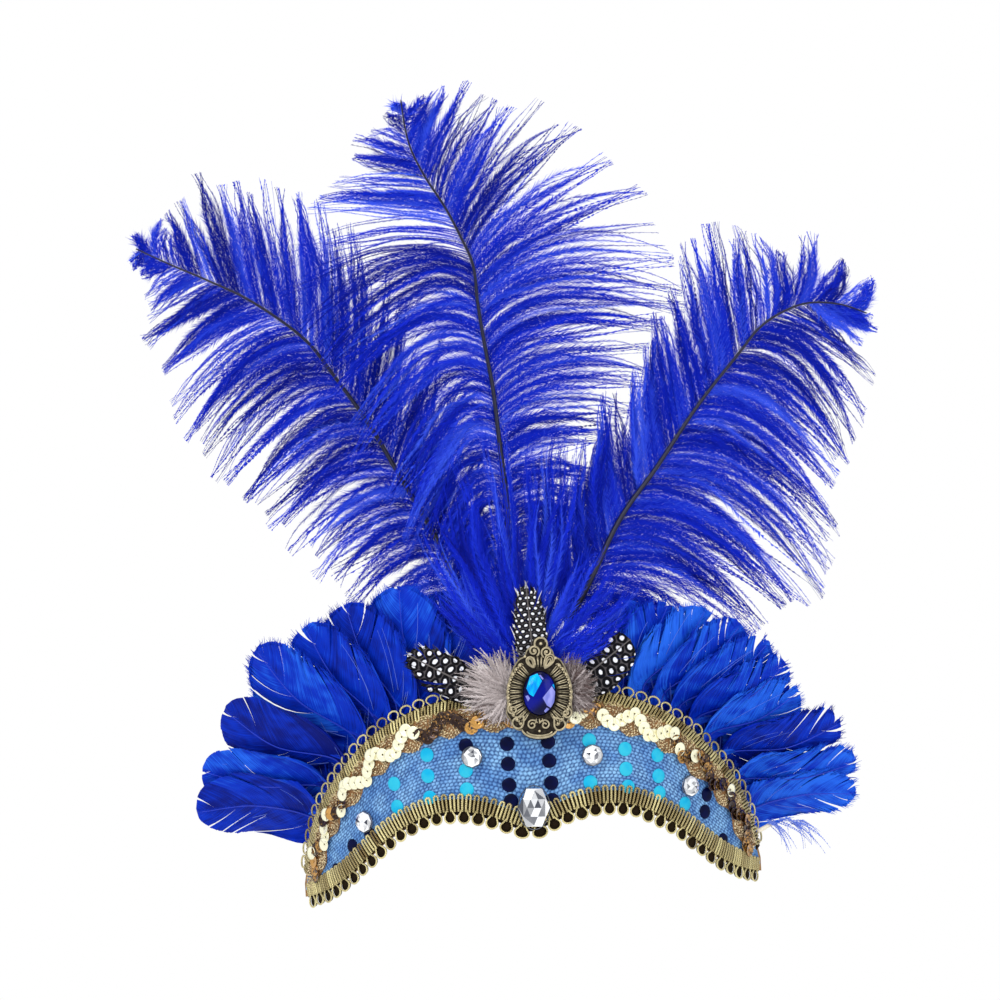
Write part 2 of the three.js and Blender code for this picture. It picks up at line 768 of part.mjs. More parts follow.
// A plume is one toothed sheet of locks on both sides of its quill. Every second row is a notch.
function ostrichPlume(spec) {
  const spine = new THREE.CatmullRomCurve3(
    spec.spine.map(([x, z]) => new THREE.Vector3(x, plumeDepth(spec.depth, x, z), z)),
  )
  const first = spec.outer[0].at
  const steps = 2 * LOCKS_PER_SIDE
  const rows = []
  for (let i = 0; i <= steps; i++) {
    const at = lerp(first, PLUME_TOP_SHARE, i / steps)
    const notch = i % 2 === 1
    const half = (side) => Array.from({ length: LOCK_COLUMNS + 1 }, (_, j) => {
      const share = (j / LOCK_COLUMNS) * (notch ? NOTCH_REACH : 1)
      const p = barbLine(spec, spine, at, side).getPoint(share)
      const ridge = notch ? 0 : LOCK_RIDGE * Math.sin(Math.PI * Math.min(1, j / LOCK_COLUMNS + 0.15))
      return new THREE.Vector3(p.x, plumeDepth(spec.depth, p.x, p.y) - ridge, p.y)
    })
    rows.push([...half(-1).reverse(), ...half(1).slice(1)])
  }
  const thin = (i, j) => lerp(LOCK_THICKNESS, 0.7, Math.abs(j - LOCK_COLUMNS) / LOCK_COLUMNS)
  const radius = OSTRICH_QUILL_DIAMETER / 2
  return fuse([tube(spine, (t) => lerp(radius, 0.5, t), 6, 12), sheet(rows, thin)])
}

// Locks that fan out from a root. Every second row is a notch.
function fan(rootAt, tips, bow, columns, thickness) {
  const rows = []
  const last = 2 * (tips.length - 1)
  for (let i = 0; i <= last; i++) {
    const from = tips[Math.floor(i / 2)]
    const to = tips[Math.ceil(i / 2)]
    const notch = i % 2 === 1
    const root = rootAt(i / last)
    const tip = from.clone().lerp(to, 0.5)
    const end = notch ? root.clone().lerp(tip, NOTCH_REACH) : tip
    const line = new THREE.QuadraticBezierCurve3(root, bow(root, end), end)
    rows.push(line.getPoints(columns))
  }
  return sheet(rows, (i, j) => lerp(thickness, 0.6, j / columns))
}

function tuftDepth(z) {
  const bulge = lerp(-QUILL_DEPTH, TUFT_DEPTH, smoothstep(z, POCKET_TOP, POCKET_TOP + 12))
  return bulge - TUFT_CURL * Math.max(0, z - TUFT_CURL_START) ** 2
}

function frontTuft() {
  const at = (x, z) => new THREE.Vector3(x, tuftDepth(z), z)
  const quill = new THREE.CatmullRomCurve3([8, POCKET_TOP, 40, 58].map((z) => at(TUFT_ROOT_X, z)))
  const rootAt = (share) => at(
    TUFT_ROOT_X - 4 * Math.cos(Math.PI * share),
    TUFT_ROOT_Z + 14 * Math.sin(Math.PI * share),
  )
  const bow = (root, end) => at(lerp(root.x, end.x, 0.66), lerp(root.z, end.z, 0.42))
  const tips = TUFT_TIPS.map(({ x, z }) => at(x, z))
  return fuse([tube(quill, () => 1, 6, 5), fan(rootAt, tips, bow, 4, 3)])
}

// The line of a goose feather: it rises inside the pocket, leaves the band and bows to its tip
function goosePath(spec) {
  const edgeZ = edgeHeight('high', spec.angle)
  const arc = arcOfAngle(spec.angle)
  const leaving = onBand(arc, edgeZ, QUILL_DEPTH)
  const tip = new THREE.Vector3(spec.x, spec.y, spec.z)
  const flat = new THREE.Vector3(tip.x - leaving.x, 0, tip.z - leaving.z).normalize()
  const down = new THREE.Vector3(flat.x * 0.25, 0, flat.z).normalize()
  const root = onBand(
    arc - down.x * GOOSE_SEATED,
    edgeZ - Math.abs(down.z) * GOOSE_SEATED,
    QUILL_DEPTH,
  )
  const bend = leaving.clone().addScaledVector(leaving.clone().sub(root).normalize(), 8)
  const middle = bend.clone().lerp(tip, 0.5)
    .add(new THREE.Vector3(-flat.z, 0, flat.x).multiplyScalar(spec.bow))
  return new THREE.CatmullRomCurve3([root, leaving, bend, middle, tip])
}

// Feathers of one side, from the end of the band up. Each lies on the surface that its neighbours span
// and is tilted on it like a shingle, so that a lower feather lies over the next one up.
function gooseFan(specs) {
  const paths = specs.map(goosePath)
  return specs.map((spec, i) => {
    const before = paths[Math.max(0, i - 1)]
    const after = paths[Math.min(paths.length - 1, i + 1)]
    const side = Math.sign(spec.angle)
    const facing = (t) => {
      const across = after.getPoint(t).sub(before.getPoint(t))
      const along = paths[i].getTangent(t)
      const normal = along.clone().cross(across).normalize().multiplyScalar(side)
      return normal.applyAxisAngle(along, side * radians(GOOSE_TILT) * smoothstep(t, 0.25, 0.45))
    }
    const width = (t) => {
      if (t < GOOSE_VANE_START) return GOOSE_QUILL
      const s = (t - GOOSE_VANE_START) / (1 - GOOSE_VANE_START)
      const swell = lerp(GOOSE_QUILL, spec.width, smoothstep(s, -0.1, 0.4))
      return swell * Math.sqrt(Math.max(0, 1 - s ** 5)) + 0.3
    }
    const thickness = (t) => lerp(GOOSE_QUILL, GOOSE_THICKNESS, smoothstep(t, 0.1, 0.4))
    return blade(paths[i], facing, width, thickness, 8)
  })
}

function guineaFeather(spec) {
  const depth = spec.on + SEAT_GAP + GUINEA_THICKNESS / 2
  const root = onBand(arcOfX(spec.rootX, depth), spec.rootZ, depth)
  const tip = new THREE.Vector3(spec.x, spec.y, spec.z)
  const middle = root.clone().lerp(tip, 0.5).add(new THREE.Vector3(0, -0.8, 0))
  const path = new THREE.QuadraticBezierCurve3(root, middle, tip)
  return blade(path, () => new THREE.Vector3(0, -1, 0),
    (t) => spec.width * smoothstep(t, -0.35, 0.55) * Math.sqrt(Math.max(0, 1 - t ** 5)) + 0.4,
    () => GUINEA_THICKNESS,
    6)
}

function downTuft(spec) {
  const [x, z] = spec.root
  const root = onBand(arcOfX(x, spec.back), z, spec.back + DOWN_THICKNESS / 2)
  const towards = (direction, reach) => root.clone().add(new THREE.Vector3(
    reach * Math.cos(radians(direction)),
    reach * DOWN_LEAN,
    reach * Math.sin(radians(direction)),
  ))
  const first = spec.locks[0].direction
  const last = spec.locks[spec.locks.length - 1].direction
  const tips = spec.locks.map(({ direction, reach }) => towards(direction, reach))
  const bow = (from, to) => from.clone().lerp(to, 0.5).add(new THREE.Vector3(0, -0.8, 0))
  return fan((share) => towards(lerp(first, last, share), 2.5), tips, bow, 3, DOWN_THICKNESS)
}

// The headdress

const headdress = new THREE.Group()

function addPiece(name, colour, geometry, group = headdress) {
  geometry.computeVertexNormals()
  const material = new THREE.MeshStandardMaterial({
    color: COLOURS[colour],
    roughness: METALS.has(colour) ? 0.35 : 0.8,
    metalness: METALS.has(colour) ? 0.9 : 0,
  })
  const mesh = new THREE.Mesh(geometry, material)
  mesh.name = name
  group.add(mesh)
}

addPiece('band_panel', 'cloth', bandPanel())
addPiece('felt_backing', 'felt', feltBacking())
addPiece('lower_braid', 'gold', picotTrim(LOWER_EDGE, 1, LOWER_BRAID_END, GIMP_WIDTH))
addPiece('upper_braid', 'gold', picotTrim(UPPER_EDGE, -1, UPPER_BRAID_END, UPPER_GIMP_WIDTH))
addPiece('sequin_braid', 'sequins', sequinBraid())

for (const [name, [x, z]] of Object.entries(ROUND_STONES)) {
  const place = flatOnBand(x, z, TRIM_BACK + 0.1, 0)
  addPiece(name, 'crystal', cutStone(ROUND_STONE_DIAMETER, ROUND_STONE_DIAMETER, 3.4, 10, place))
}
const dropPlace = flatOnBand(DROP_STONE[0], DROP_STONE[1], TRIM_FRONT + 0.5, BROOCH_TURN)
addPiece('drop_stone', 'crystal', cutStone(OVAL_STONE_WIDTH, OVAL_STONE_HEIGHT, 4.6, 12, dropPlace))

const broochPlace = flatOnBand(BROOCH_MIDDLE[0], BROOCH_MIDDLE[1], BROOCH_BACK, BROOCH_TURN)
addPiece('brooch_frame', 'bronze', broochFrame(broochPlace))
const stoneSeat = (u, v, w) => broochPlace(u, v, w + BROOCH_PLATE + BEZEL_HEIGHT / 2)
addPiece('brooch_stone', 'sapphire', cutStone(OVAL_STONE_WIDTH, OVAL_STONE_HEIGHT, 4.4, 12, stoneSeat))

for (const [name, spec] of Object.entries(GUINEA_FEATHERS)) addPiece(name, 'guinea', guineaFeather(spec))
for (const [name, spec] of Object.entries(DOWN_TUFTS)) addPiece(name, 'down', downTuft(spec))
for (const rows of Object.values(GOOSE_FEATHERS)) {
  const names = Object.keys(rows)
  gooseFan(Object.values(rows)).forEach((geometry, i) => addPiece(names[i], 'goose', geometry))
}
for (const [name, spec] of Object.entries(PLUMES)) addPiece(name, 'ostrich', ostrichPlume(spec))
addPiece('front_tuft', 'ostrich', frontTuft())

export default headdress
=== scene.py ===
"""Dresses the frame of a showgirl feather headdress: plumes, feathers, trims, stones and a plain studio.

Sizes in this file are millimetres in the frame's own axes: +Z is up, -Y is the front. The add-on's
properties and the stage are in metres, which are Blender's own unit.
"""

import math

import bpy
import numpy as np
from mathutils import Matrix, Vector


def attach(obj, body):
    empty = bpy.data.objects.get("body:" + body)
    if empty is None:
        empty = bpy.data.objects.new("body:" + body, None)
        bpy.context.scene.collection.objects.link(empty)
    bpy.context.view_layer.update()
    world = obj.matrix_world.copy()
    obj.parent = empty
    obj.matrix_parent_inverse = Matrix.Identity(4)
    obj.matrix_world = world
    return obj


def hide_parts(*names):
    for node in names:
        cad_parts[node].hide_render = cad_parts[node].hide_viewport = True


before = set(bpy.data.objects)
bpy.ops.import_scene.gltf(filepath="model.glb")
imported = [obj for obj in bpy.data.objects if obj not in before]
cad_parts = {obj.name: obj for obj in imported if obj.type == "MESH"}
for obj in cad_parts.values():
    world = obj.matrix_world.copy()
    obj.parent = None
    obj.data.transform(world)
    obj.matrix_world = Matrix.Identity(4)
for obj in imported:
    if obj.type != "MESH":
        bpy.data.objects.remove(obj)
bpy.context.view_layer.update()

bl_info = {
    "name": "Showgirl Feather Headdress",
    "version": (1, 0, 0),
    "blender": (4, 5, 0),
    "location": "3D View > Sidebar > Headdress",
    "description": "Builds the feathers, trims, stones and studio of a feather headdress over its frame",
    "category": "Object",
}

MM = 0.001

# The band, as in the frame. Depths are measured outwards from its inner face.
HEAD_RADIUS = 97.0
FELT_FRONT = 1.2
PANEL_FRONT = 6.4
QUILL_DEPTH = 2.8
TRIM_BACK = 6.7
TRIM_FRONT = 8.0
SEQUIN_FRONT = 8.8
DOT_BACK = PANEL_FRONT + 0.22
CHART_RADIUS = HEAD_RADIUS + PANEL_FRONT

# angle round the head, height of the lower edge, height of the upper edge
BAND_OUTLINE = [
    (0, -24.5, 29), (5, -21.5, 29), (10, -18.2, 28.8), (16, -16.6, 27.8), (22, -17.5, 25.6),
    (28, -21.3, 21.8), (34, -27.2, 16.7), (40, -34.8, 9.6), (46, -42, 0.8), (52, -46.8, -8.5),
    (57, -49.3, -18.5), (61, -50.6, -30), (65, -51.6, -46),
]

PICOT_PITCH = 6.1
PICOT_WIDTH = 5.9
PICOT_HEIGHT = 4.0
GIMP_WIDTH = 6.7
UPPER_GIMP_WIDTH = 4.4
BRAID_INSET = 3.4
BRAID_WIDTH = 10.6
BRAID_END = 7.0
SCALLOP_PITCH = 20.0
# Woven fans of the sequin braid: which way they spread, how far in their hub lies, and their radius
LOWER_FAN = (1, 9.6, 5.2)
UPPER_FAN = (-1, 8.2, 4.9)

# Plumes: spine points in the front view, how far back the plume stands, and where its strands end.
# A row of outer or inner holds the share of the spine where a strand leaves it, and the strand's end
# (x, z). turn is 1 where the outer side is on the left of the spine, and thin holds stretches of the
# spine whose outer strands have short barbules.
PLUMES = {
    "ostrich_left": {
        "depth": 28, "turn": 1, "thin": [],
        "spine": [(-8, 8), (-8, 30), (-13, 48), (-23, 71), (-33, 96), (-44, 117), (-56, 140), (-70, 162),
                  (-81, 177), (-101, 193), (-119, 203), (-133, 210), (-148, 218)],
        "outer": [(0.15, -34, 36), (0.246, -58, 53), (0.348, -76, 79), (0.441, -93, 97),
                  (0.534, -107, 114), (0.636, -124, 131), (0.704, -133, 142), (0.797, -142, 166),
                  (0.873, -147, 186), (0.941, -149, 202), (0.99, -150, 213)],
        "inner": [(0.15, -6, 78), (0.246, -9, 107), (0.348, -15, 139), (0.441, -25, 168),
                  (0.534, -46, 193), (0.585, -60, 218), (0.636, -72, 231), (0.67, -80, 237),
                  (0.704, -86, 233), (0.737, -97, 236), (0.771, -102, 240), (0.814, -114, 240),
                  (0.856, -127, 238), (0.941, -138, 228), (0.99, -147, 224)],
    },
    "ostrich_centre": {
        "depth": 17, "turn": 1, "thin": [(0.735, 0.8)],
        "spine": [(-3.2, 8), (-3.2, 30), (-3, 74), (-2, 103), (-3, 121), (-4, 137), (-5, 152), (-7, 167),
                  (-9, 185), (-10, 201), (-14, 212), (-20, 225), (-27, 237), (-32, 248), (-34, 257),
                  (-35, 268)],
        "outer": [(0.2, -20, 50), (0.358, -29, 68), (0.422, -36, 82), (0.542, -54, 117),
                  (0.597, -65, 138), (0.67, -74, 162), (0.716, -81, 176), (0.743, -85, 191),
                  (0.771, -83, 206), (0.789, -78, 221), (0.844, -69, 234), (0.872, -61, 240),
                  (0.908, -56, 248), (0.954, -45, 264), (0.991, -38, 267)],
        "inner": [(0.2, 20, 72), (0.358, 31, 104), (0.422, 44, 124), (0.542, 61, 163), (0.642, 74, 192),
                  (0.67, 74, 202), (0.697, 63, 226), (0.743, 44, 245), (0.771, 28, 256),
                  (0.807, 11, 267), (0.826, 1, 266), (0.872, -9, 270), (0.899, -16, 271),
                  (0.945, -23, 266), (0.991, -30, 269)],
    },
    "ostrich_right": {
        "depth": 6, "turn": -1, "thin": [],
        "spine": [(8.5, 8), (8.5, 30), (16, 49), (29, 71), (43, 96), (59, 116), (74, 136), (84, 148),
                  (95, 160), (103, 169), (112, 175), (124, 179), (138, 178), (149, 174)],
        "outer": [(0.2, 66, 38), (0.281, 88, 45), (0.399, 109, 54), (0.481, 121, 62), (0.554, 129, 76),
                  (0.609, 125, 102), (0.709, 136, 114), (0.791, 144, 126), (0.836, 150, 149),
                  (0.909, 146, 160), (0.945, 150, 169), (0.99, 152, 172)],
        "inner": [(0.2, 24, 104), (0.281, 30, 124), (0.399, 44, 144), (0.481, 54, 159),
                  (0.554, 61, 171), (0.636, 69, 184), (0.691, 76, 208), (0.763, 92, 209),
                  (0.809, 103, 210), (0.854, 118, 202), (0.882, 131, 202), (0.909, 137, 198),
                  (0.945, 147, 188), (0.99, 151, 178)],
    },
}
POCKET_TOP = 30.0
PLUME_CLEAR_HEIGHT = 108.0
SIDE_SWEEP = 0.0017
TIP_CURL_START = 120.0
TIP_CURL = 0.0011
# Triangles of a strand for each step along it: two barbules and a share of the cord
STEP_TRIANGLES = 3.1
# Steps along the strands of the front tuft and of the down
TUFT_STEP = 0.68
DOWN_STEP = 0.5

# The short tuft in front of the quills: where its stem stands, and where its strands end (x, z)
TUFT_STEM_X = 2.0
TUFT_TIPS = [(-34, 60), (-37, 86), (-31, 113), (-23, 136), (-9, 146), (3, 130), (15, 142), (28, 145),
             (40, 126), (47, 96), (52, 70), (48, 54)]

# Goose feathers: node, angle round the head, tip (x, y, z), width, bow
GOOSE_LEFT = [
    ("goose_left_1", -59, (-136, 46, -14), 36, -4), ("goose_left_2", -54, (-133, 43.5, 3), 37, 3),
    ("goose_left_3", -48.5, (-122, 33, 28), 40, 5), ("goose_left_4", -42.5, (-107, 22, 52), 42, 4),
    ("goose_left_5", -36.5, (-86, 12, 60), 42, 3), ("goose_left_6", -30.5, (-69, 5, 68), 42, 3),
    ("goose_left_7", -24.5, (-47, -1, 74), 40, 2), ("goose_left_8", -18, (-28, -1, 71), 32, 1),
]
GOOSE_RIGHT = [
    ("goose_right_1", 61.5, (134, 49, -22), 28, 3), ("goose_right_2", 57, (135, 46, -9), 34, -3),
    ("goose_right_3", 52, (129, 37, 8), 37, -4), ("goose_right_4", 47, (112, 28, 22), 36, -3),
    ("goose_right_5", 42.5, (107, 21, 34), 37, -4), ("goose_right_6", 38, (100, 15, 43), 37, -4),
    ("goose_right_7", 33.5, (89, 9, 51), 36, -3), ("goose_right_8", 28.5, (75, 4, 58), 35, -3),
    ("goose_right_9", 23.5, (60, 0, 61), 32, -2), ("goose_right_10", 18.5, (48, -2, 62), 28, -2),
]

# Guinea feathers: node, root (x, z), depth of what it lies on, tip (x, y, z), width, how small the
# spots are and how ragged the web is
GUINEA_FEATHERS = [
    ("guinea_left", (-9, 26), SEQUIN_FRONT, (-45, -7, 47), 20, 1.25, 0.12),
    ("guinea_centre", (5.5, 28.5), TRIM_FRONT, (3.7, -13, 72), 14, 2.0, 0.07),
    ("guinea_right", (15, 27), TRIM_FRONT, (44, -5.5, 48), 22, 1.15, 0.02),
]
GUINEA_THICKNESS = 0.8
SEAT_GAP = 0.3

# Where the web of a goose feather starts, as a share of its shaft
WEB_START = 0.12
# A web more ragged than this has loose ends of barbs past its edge
FRAYED = 0.03

# Down tufts: node, root (x, z), depth of the back, and the spread of their strands as (direction, reach)
DOWN_BACK = SEQUIN_FRONT + 2 * SEAT_GAP + GUINEA_THICKNESS
DOWN_TUFTS = [
    ("down_left", (-5, 29), DOWN_BACK, [(96, 15), (112, 18), (137, 19), (160, 19), (184, 17), (208, 13),
                                        (236, 11), (256, 11)]),
    ("down_right", (18, 29), DOWN_BACK + 0.15, [(88, 14), (74, 13), (49, 9), (22, 8), (-4, 9),
                                                (-32, 10), (-60, 9)]),
]

# Stones: widths, the half width and half height of the blue one, and the depth of their backs
ROUND_STONE_WIDTH = 8.2
ROUND_STONE_BACK = TRIM_BACK + 0.1
OVAL_STONE = (12.6, 17.4)
OVAL_STONE_BACK = TRIM_FRONT + 0.5
BLUE_STONE = (6.45, 8.75)

# Places of the stones, the brooch and the dots in the front view
ROUND_STONES = {
    "stone_left_outer": (-66, -20), "stone_left_inner": (-21.5, 4.8),
    "stone_right_inner": (26, 2.6), "stone_right_outer": (64.5, -13),
}
DROP_STONE = (1.8, -16.5)
BROOCH_MIDDLE = (6.5, 28.9)
BROOCH_TURN = 3.3
BROOCH_PLATE = 1.6
BROOCH_BACK = DOWN_BACK + 2.8
BRIGHT_DOTS = [(-53.6, -4.9), (-52.9, -14.2), (-39.7, 6.3), (-39.8, -2.1), (-39.5, -10.9), (-24.5, -0.6),
               (-24.5, -8.2), (25.3, 8.6), (24.8, -8.2), (39.5, 4.1), (39.4, -3.9),
               (39.8, -11.1), (52.5, 0.6), (52.4, -7.8), (52.4, -14.6), (62.6, -20.0)]
DARK_DOTS = [(-72.2, -29.9), (-79.6, -39.9), (-64.8, -25.1), (-23.9, 9.4), (-7.5, 9.2), (-7.5, 1.2),
             (-7.6, -7.2), (-7.2, -13.6), (8.9, 9.1), (8.9, 1.5), (9.2, -7.3), (9.2, -14.2), (70.7, -24.1),
             (71.9, -17.4), (77.6, -36.5)]


# Shader values

class Wire:
    """A value in a material. Python's operators on it add Math nodes."""

    def __init__(self, finish, socket):
        self.finish = finish
        self.socket = socket

    def maths(self, operation, *values):
        return self.finish.node("ShaderNodeMath", {"operation": operation}, dict(enumerate(values)))

    def __add__(self, other):
        return self.maths("ADD", self, other)

    def __sub__(self, other):
        return self.maths("SUBTRACT", self, other)

    def __rsub__(self, other):
        return self.maths("SUBTRACT", other, self)

    def __mul__(self, other):
        return self.maths("MULTIPLY", self, other)

    def __truediv__(self, other):
        return self.maths("DIVIDE", self, other)

    def __pow__(self, other):
        return self.maths("POWER", self, other)

    __radd__ = __add__
    __rmul__ = __mul__

    def sine(self):
        return self.maths("SINE", self)

    def fraction(self):
        return self.maths("FRACT", self)

    def size(self):
        return self.maths("ABSOLUTE", self)

    def ramp(self, low, high):
        """Rises smoothly from 0 at low to 1 at high."""
        return self.finish.node("ShaderNodeMapRange", {"interpolation_type": "SMOOTHSTEP"},
                                {"Value": self, "From Min": low, "From Max": high})


class Finish:
    """A material and the nodes that make it."""

    def __init__(self, name):
        self.material = bpy.data.materials.new(name)
        self.material.use_nodes = True
        self.tree = self.material.node_tree
        self.shader = self.tree.nodes["Principled BSDF"]

    def node(self, kind, settings=None, values=None, output=0):
        made = self.tree.nodes.new(kind)
        for name, value in (settings or {}).items():
            setattr(made, name, value)
        for name, value in (values or {}).items():
            self.feed(made.inputs[name], value)
        return Wire(self, made.outputs[output])

    def feed(self, socket, value):
        if isinstance(value, Wire):
            self.tree.links.new(value.socket, socket)
        else:
            socket.default_value = value

    def attribute(self, name, output="Fac"):
        return self.node("ShaderNodeAttribute", {"attribute_name": name}, output=output)

    def parts(self, vector):
        split = self.node("ShaderNodeSeparateXYZ", {}, {0: vector}).socket.node
        return [Wire(self, socket) for socket in split.outputs]

    def joined(self, x, y, z=0.0):
        return self.node("ShaderNodeCombineXYZ", {}, {0: x, 1: y, 2: z})

    def noise(self, vector, scale, detail=2.0):
        return self.node("ShaderNodeTexNoise", {}, {"Vector": vector, "Scale": scale, "Detail": detail})

    def mixed(self, share, low, high):
        return self.node("ShaderNodeMix", {"data_type": "RGBA"}, {0: share, 6: low, 7: high}, output=2)

    def bump(self, height, distance, strength=1.0):
        return self.node("ShaderNodeBump", {}, {"Height": height, "Distance": distance * MM,
                                                "Strength": strength})

    def surface(self, **values):
        for name, value in values.items():
            self.feed(self.shader.inputs[name.replace("_", " ")], value)
        return self.material


def rgb(red, green, blue):
    """A colour given as it looks on a screen, 0 to 255, turned into the light that a shader takes."""
    def linear(value):
        value /= 255
        return value / 12.92 if value <= 0.04045 else ((value + 0.055) / 1.055) ** 2.4
    return (linear(red), linear(green), linear(blue), 1.0)


# Shapes

def unit(vectors):
    """The same directions, each one long."""
    vectors = np.asarray(vectors, float)
    return vectors / np.maximum(np.linalg.norm(vectors, axis=-1, keepdims=True), 1e-9)


def ease(value, low, high):
    """Rises smoothly from 0 at low to 1 at high."""
    share = np.clip((np.asarray(value, float) - low) / (high - low), 0, 1)
    return share * share * (3 - 2 * share)


def lattice(rows, columns, wrap=False):
    """Triangles over a grid of points. wrap joins its last column to its first."""
    i = np.arange(rows - 1)[:, None] * columns
    j = np.arange(columns if wrap else columns - 1)[None, :]
    k = (j + 1) % columns
    a, b, c, d = i + j, i + k, i + columns + k, i + columns + j
    return np.stack([a, b, c, a, c, d], axis=-1).reshape(-1, 3)


def fan(ring):
    """Triangles that close a ring of point numbers."""
    ring = list(ring)
    return np.array([(ring[0], ring[i], ring[i + 1]) for i in range(1, len(ring) - 1)])


def tube(path, radius, up, sides=6, loop=False):
    """A cord along a path, with a radius for each point. Its ends are closed."""
    path = np.asarray(path, float)
    ahead = unit(np.roll(path, -1, 0) - np.roll(path, 1, 0) if loop else np.gradient(path, axis=0))
    across = unit(np.cross(ahead, up))
    out = np.cross(ahead, across)
    turn = np.arange(sides) * 2 * math.pi / sides
    radius = np.broadcast_to(radius, len(path))[:, None, None]
    ring = (np.cos(turn)[None, :, None] * across[:, None] + np.sin(turn)[None, :, None] * out[:, None])
    points = (path[:, None] + radius * ring).reshape(-1, 3)
    faces = lattice(len(path) + int(loop), sides, wrap=True) % len(points)
    if loop:
        return points, faces
    first = fan(range(sides))[:, ::-1]
    last = fan(range(len(points) - sides, len(points)))
    return points, np.vstack([faces, first, last])


def ball(centre, radius, rings=5, sides=8):
    """A bead."""
    centre = np.asarray(centre, float)
    polar = np.linspace(0, math.pi, rings + 1)[1:-1]
    turn = np.arange(sides) * 2 * math.pi / sides
    ring = np.stack([np.sin(polar)[:, None] * np.cos(turn), np.sin(polar)[:, None] * np.sin(turn),
                     np.cos(polar)[:, None] * np.ones(sides)], axis=-1).reshape(-1, 3)
    points = np.vstack([ring, (0, 0, 1), (0, 0, -1)]) * radius + centre
    top, bottom, last = len(ring), len(ring) + 1, len(ring) - sides
    around = np.arange(sides)
    after = (around + 1) % sides
    caps = np.vstack([np.stack([np.full(sides, top), around, after], axis=-1),
                      np.stack([np.full(sides, bottom), last + after, last + around], axis=-1)])
    return points, np.vstack([lattice(rings - 1, sides, wrap=True)[:, ::-1], caps])


class Track:
    """A smooth line through points, walked by its length or, from 0 to 1, by its points.

    With a power of 0 every stretch counts alike, and with 0.5 a long stretch bends more gently.
    """

    def __init__(self, points, power=0.0, dense=24):
        points = np.asarray(points, float)
        first, last = points[:1], points[-1:]
        if power:
            first, last = 2 * first - points[1:2], 2 * last - points[-2:-1]
        padded = np.vstack([first, points, last])
        span = np.linalg.norm(np.diff(padded, axis=0), axis=1) ** power
        t = np.linspace(0, 1, dense, endpoint=False)[:, None]
        bits = []
        for i in range(len(points) - 1):
            a, b, c, d = padded[i:i + 4]
            before, here, after = span[i:i + 3]
            start = ((b - a) / before - (c - a) / (before + here) + (c - b) / here) * here
            end = ((c - b) / here - (d - b) / (here + after) + (d - c) / after) * here
            bits.append(b + start * t + (3 * (c - b) - 2 * start - end) * t ** 2
                        + (2 * (b - c) + start + end) * t ** 3)
        self.points = np.vstack([*bits, points[-1:]])
        steps = np.linalg.norm(np.diff(self.points, axis=0), axis=1)
        self.run = np.concatenate([[0], np.cumsum(steps)])
        self.length = self.run[-1]

    def at(self, distance):
        return np.stack([np.interp(distance, self.run, part) for part in self.points.T], axis=-1)

    def heading(self, distance):
        distance = np.clip(distance, 0.3, self.length - 0.3)
        return unit(self.at(distance + 0.3) - self.at(distance - 0.3))

    def distance_of(self, share):
        """The distance from the start at a share of the way through the line's points."""
        return np.interp(np.asarray(share) * (len(self.run) - 1), np.arange(len(self.run)), self.run)


class Skin:
    """Gathers the points and triangles of one piece, in millimetres.

    tone is how light a point is, from 0 to 1, and place is its position on the work's own surface.
    """

    def __init__(self):
        self.points, self.faces, self.tones, self.places, self.finishes = [], [], [], [], []
        self.count = 0

    def add(self, shape, tone=0.5, place=(0, 0, 0), finish=0):
        points, faces = shape
        points = np.asarray(points, float).reshape(-1, 3)
        faces = np.asarray(faces).reshape(-1, 3)
        self.points.append(points)
        self.faces.append(faces + self.count)
        self.tones.append(np.broadcast_to(tone, len(points)))
        self.places.append(np.broadcast_to(place, points.shape))
        self.finishes.append(np.full(len(faces), finish))
        self.count += len(points)

    def piece(self, name, materials, slot, nodes=(), smooth=True):
        """Makes the object. It rides on the headdress and stands for the frame's nodes that are named."""
        mesh = bpy.data.meshes.new(name)
        points = np.vstack(self.points) * MM
        faces = np.vstack(self.faces)
        mesh.vertices.add(len(points))
        mesh.vertices.foreach_set("co", points.ravel())
        mesh.loops.add(faces.size)
        mesh.loops.foreach_set("vertex_index", faces.ravel())
        mesh.polygons.add(len(faces))
        mesh.polygons.foreach_set("loop_start", np.arange(0, faces.size, 3))
        for material in materials:
            mesh.materials.append(material)
        mesh.polygons.foreach_set("material_index", np.concatenate(self.finishes).astype(np.int32))
        mesh.polygons.foreach_set("use_smooth", np.full(len(faces), smooth))
        mesh.attributes.new("tone", "FLOAT", "POINT").data.foreach_set("value", np.concatenate(self.tones))
        place = mesh.attributes.new("place", "FLOAT_VECTOR", "POINT")
        place.data.foreach_set("vector", np.vstack(self.places).ravel())
        mesh.update(calc_edges=True)
        piece = bpy.data.objects.new(name, mesh)
        bpy.context.scene.collection.objects.link(piece)
        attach(piece, "root")
        if nodes:
            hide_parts(*nodes)
        return piece


# The band's surface

def on_band(arc, z, depth):
    """A point of the band: how far round it, how high, and how far out from its inner face."""
    arc, z, depth = np.broadcast_arrays(*(np.asarray(v, float) for v in (arc, z, depth)))
    turn = arc / CHART_RADIUS
    radius = HEAD_RADIUS + depth
    return np.stack([radius * np.sin(turn), HEAD_RADIUS - radius * np.cos(turn), z], axis=-1)


def outward(arc):
    """The direction that points straight out of the band."""
    turn = np.asarray(arc, float) / CHART_RADIUS
    return np.stack([np.sin(turn), -np.cos(turn), np.zeros_like(turn)], axis=-1)


def arc_of_angle(angle):
    return CHART_RADIUS * np.radians(angle)


def arc_of_x(x, depth):
    """How far round the band a place is that lies at x in the front view."""
    return CHART_RADIUS * math.asin(x / (HEAD_RADIUS + depth))


def band_edge(column):
    """The lower or the upper edge of the band, laid out flat."""
    right = [(arc_of_angle(row[0]), row[column]) for row in BAND_OUTLINE]
    left = [(-arc, z) for arc, z in right[:0:-1]]
    return Track(left + right)


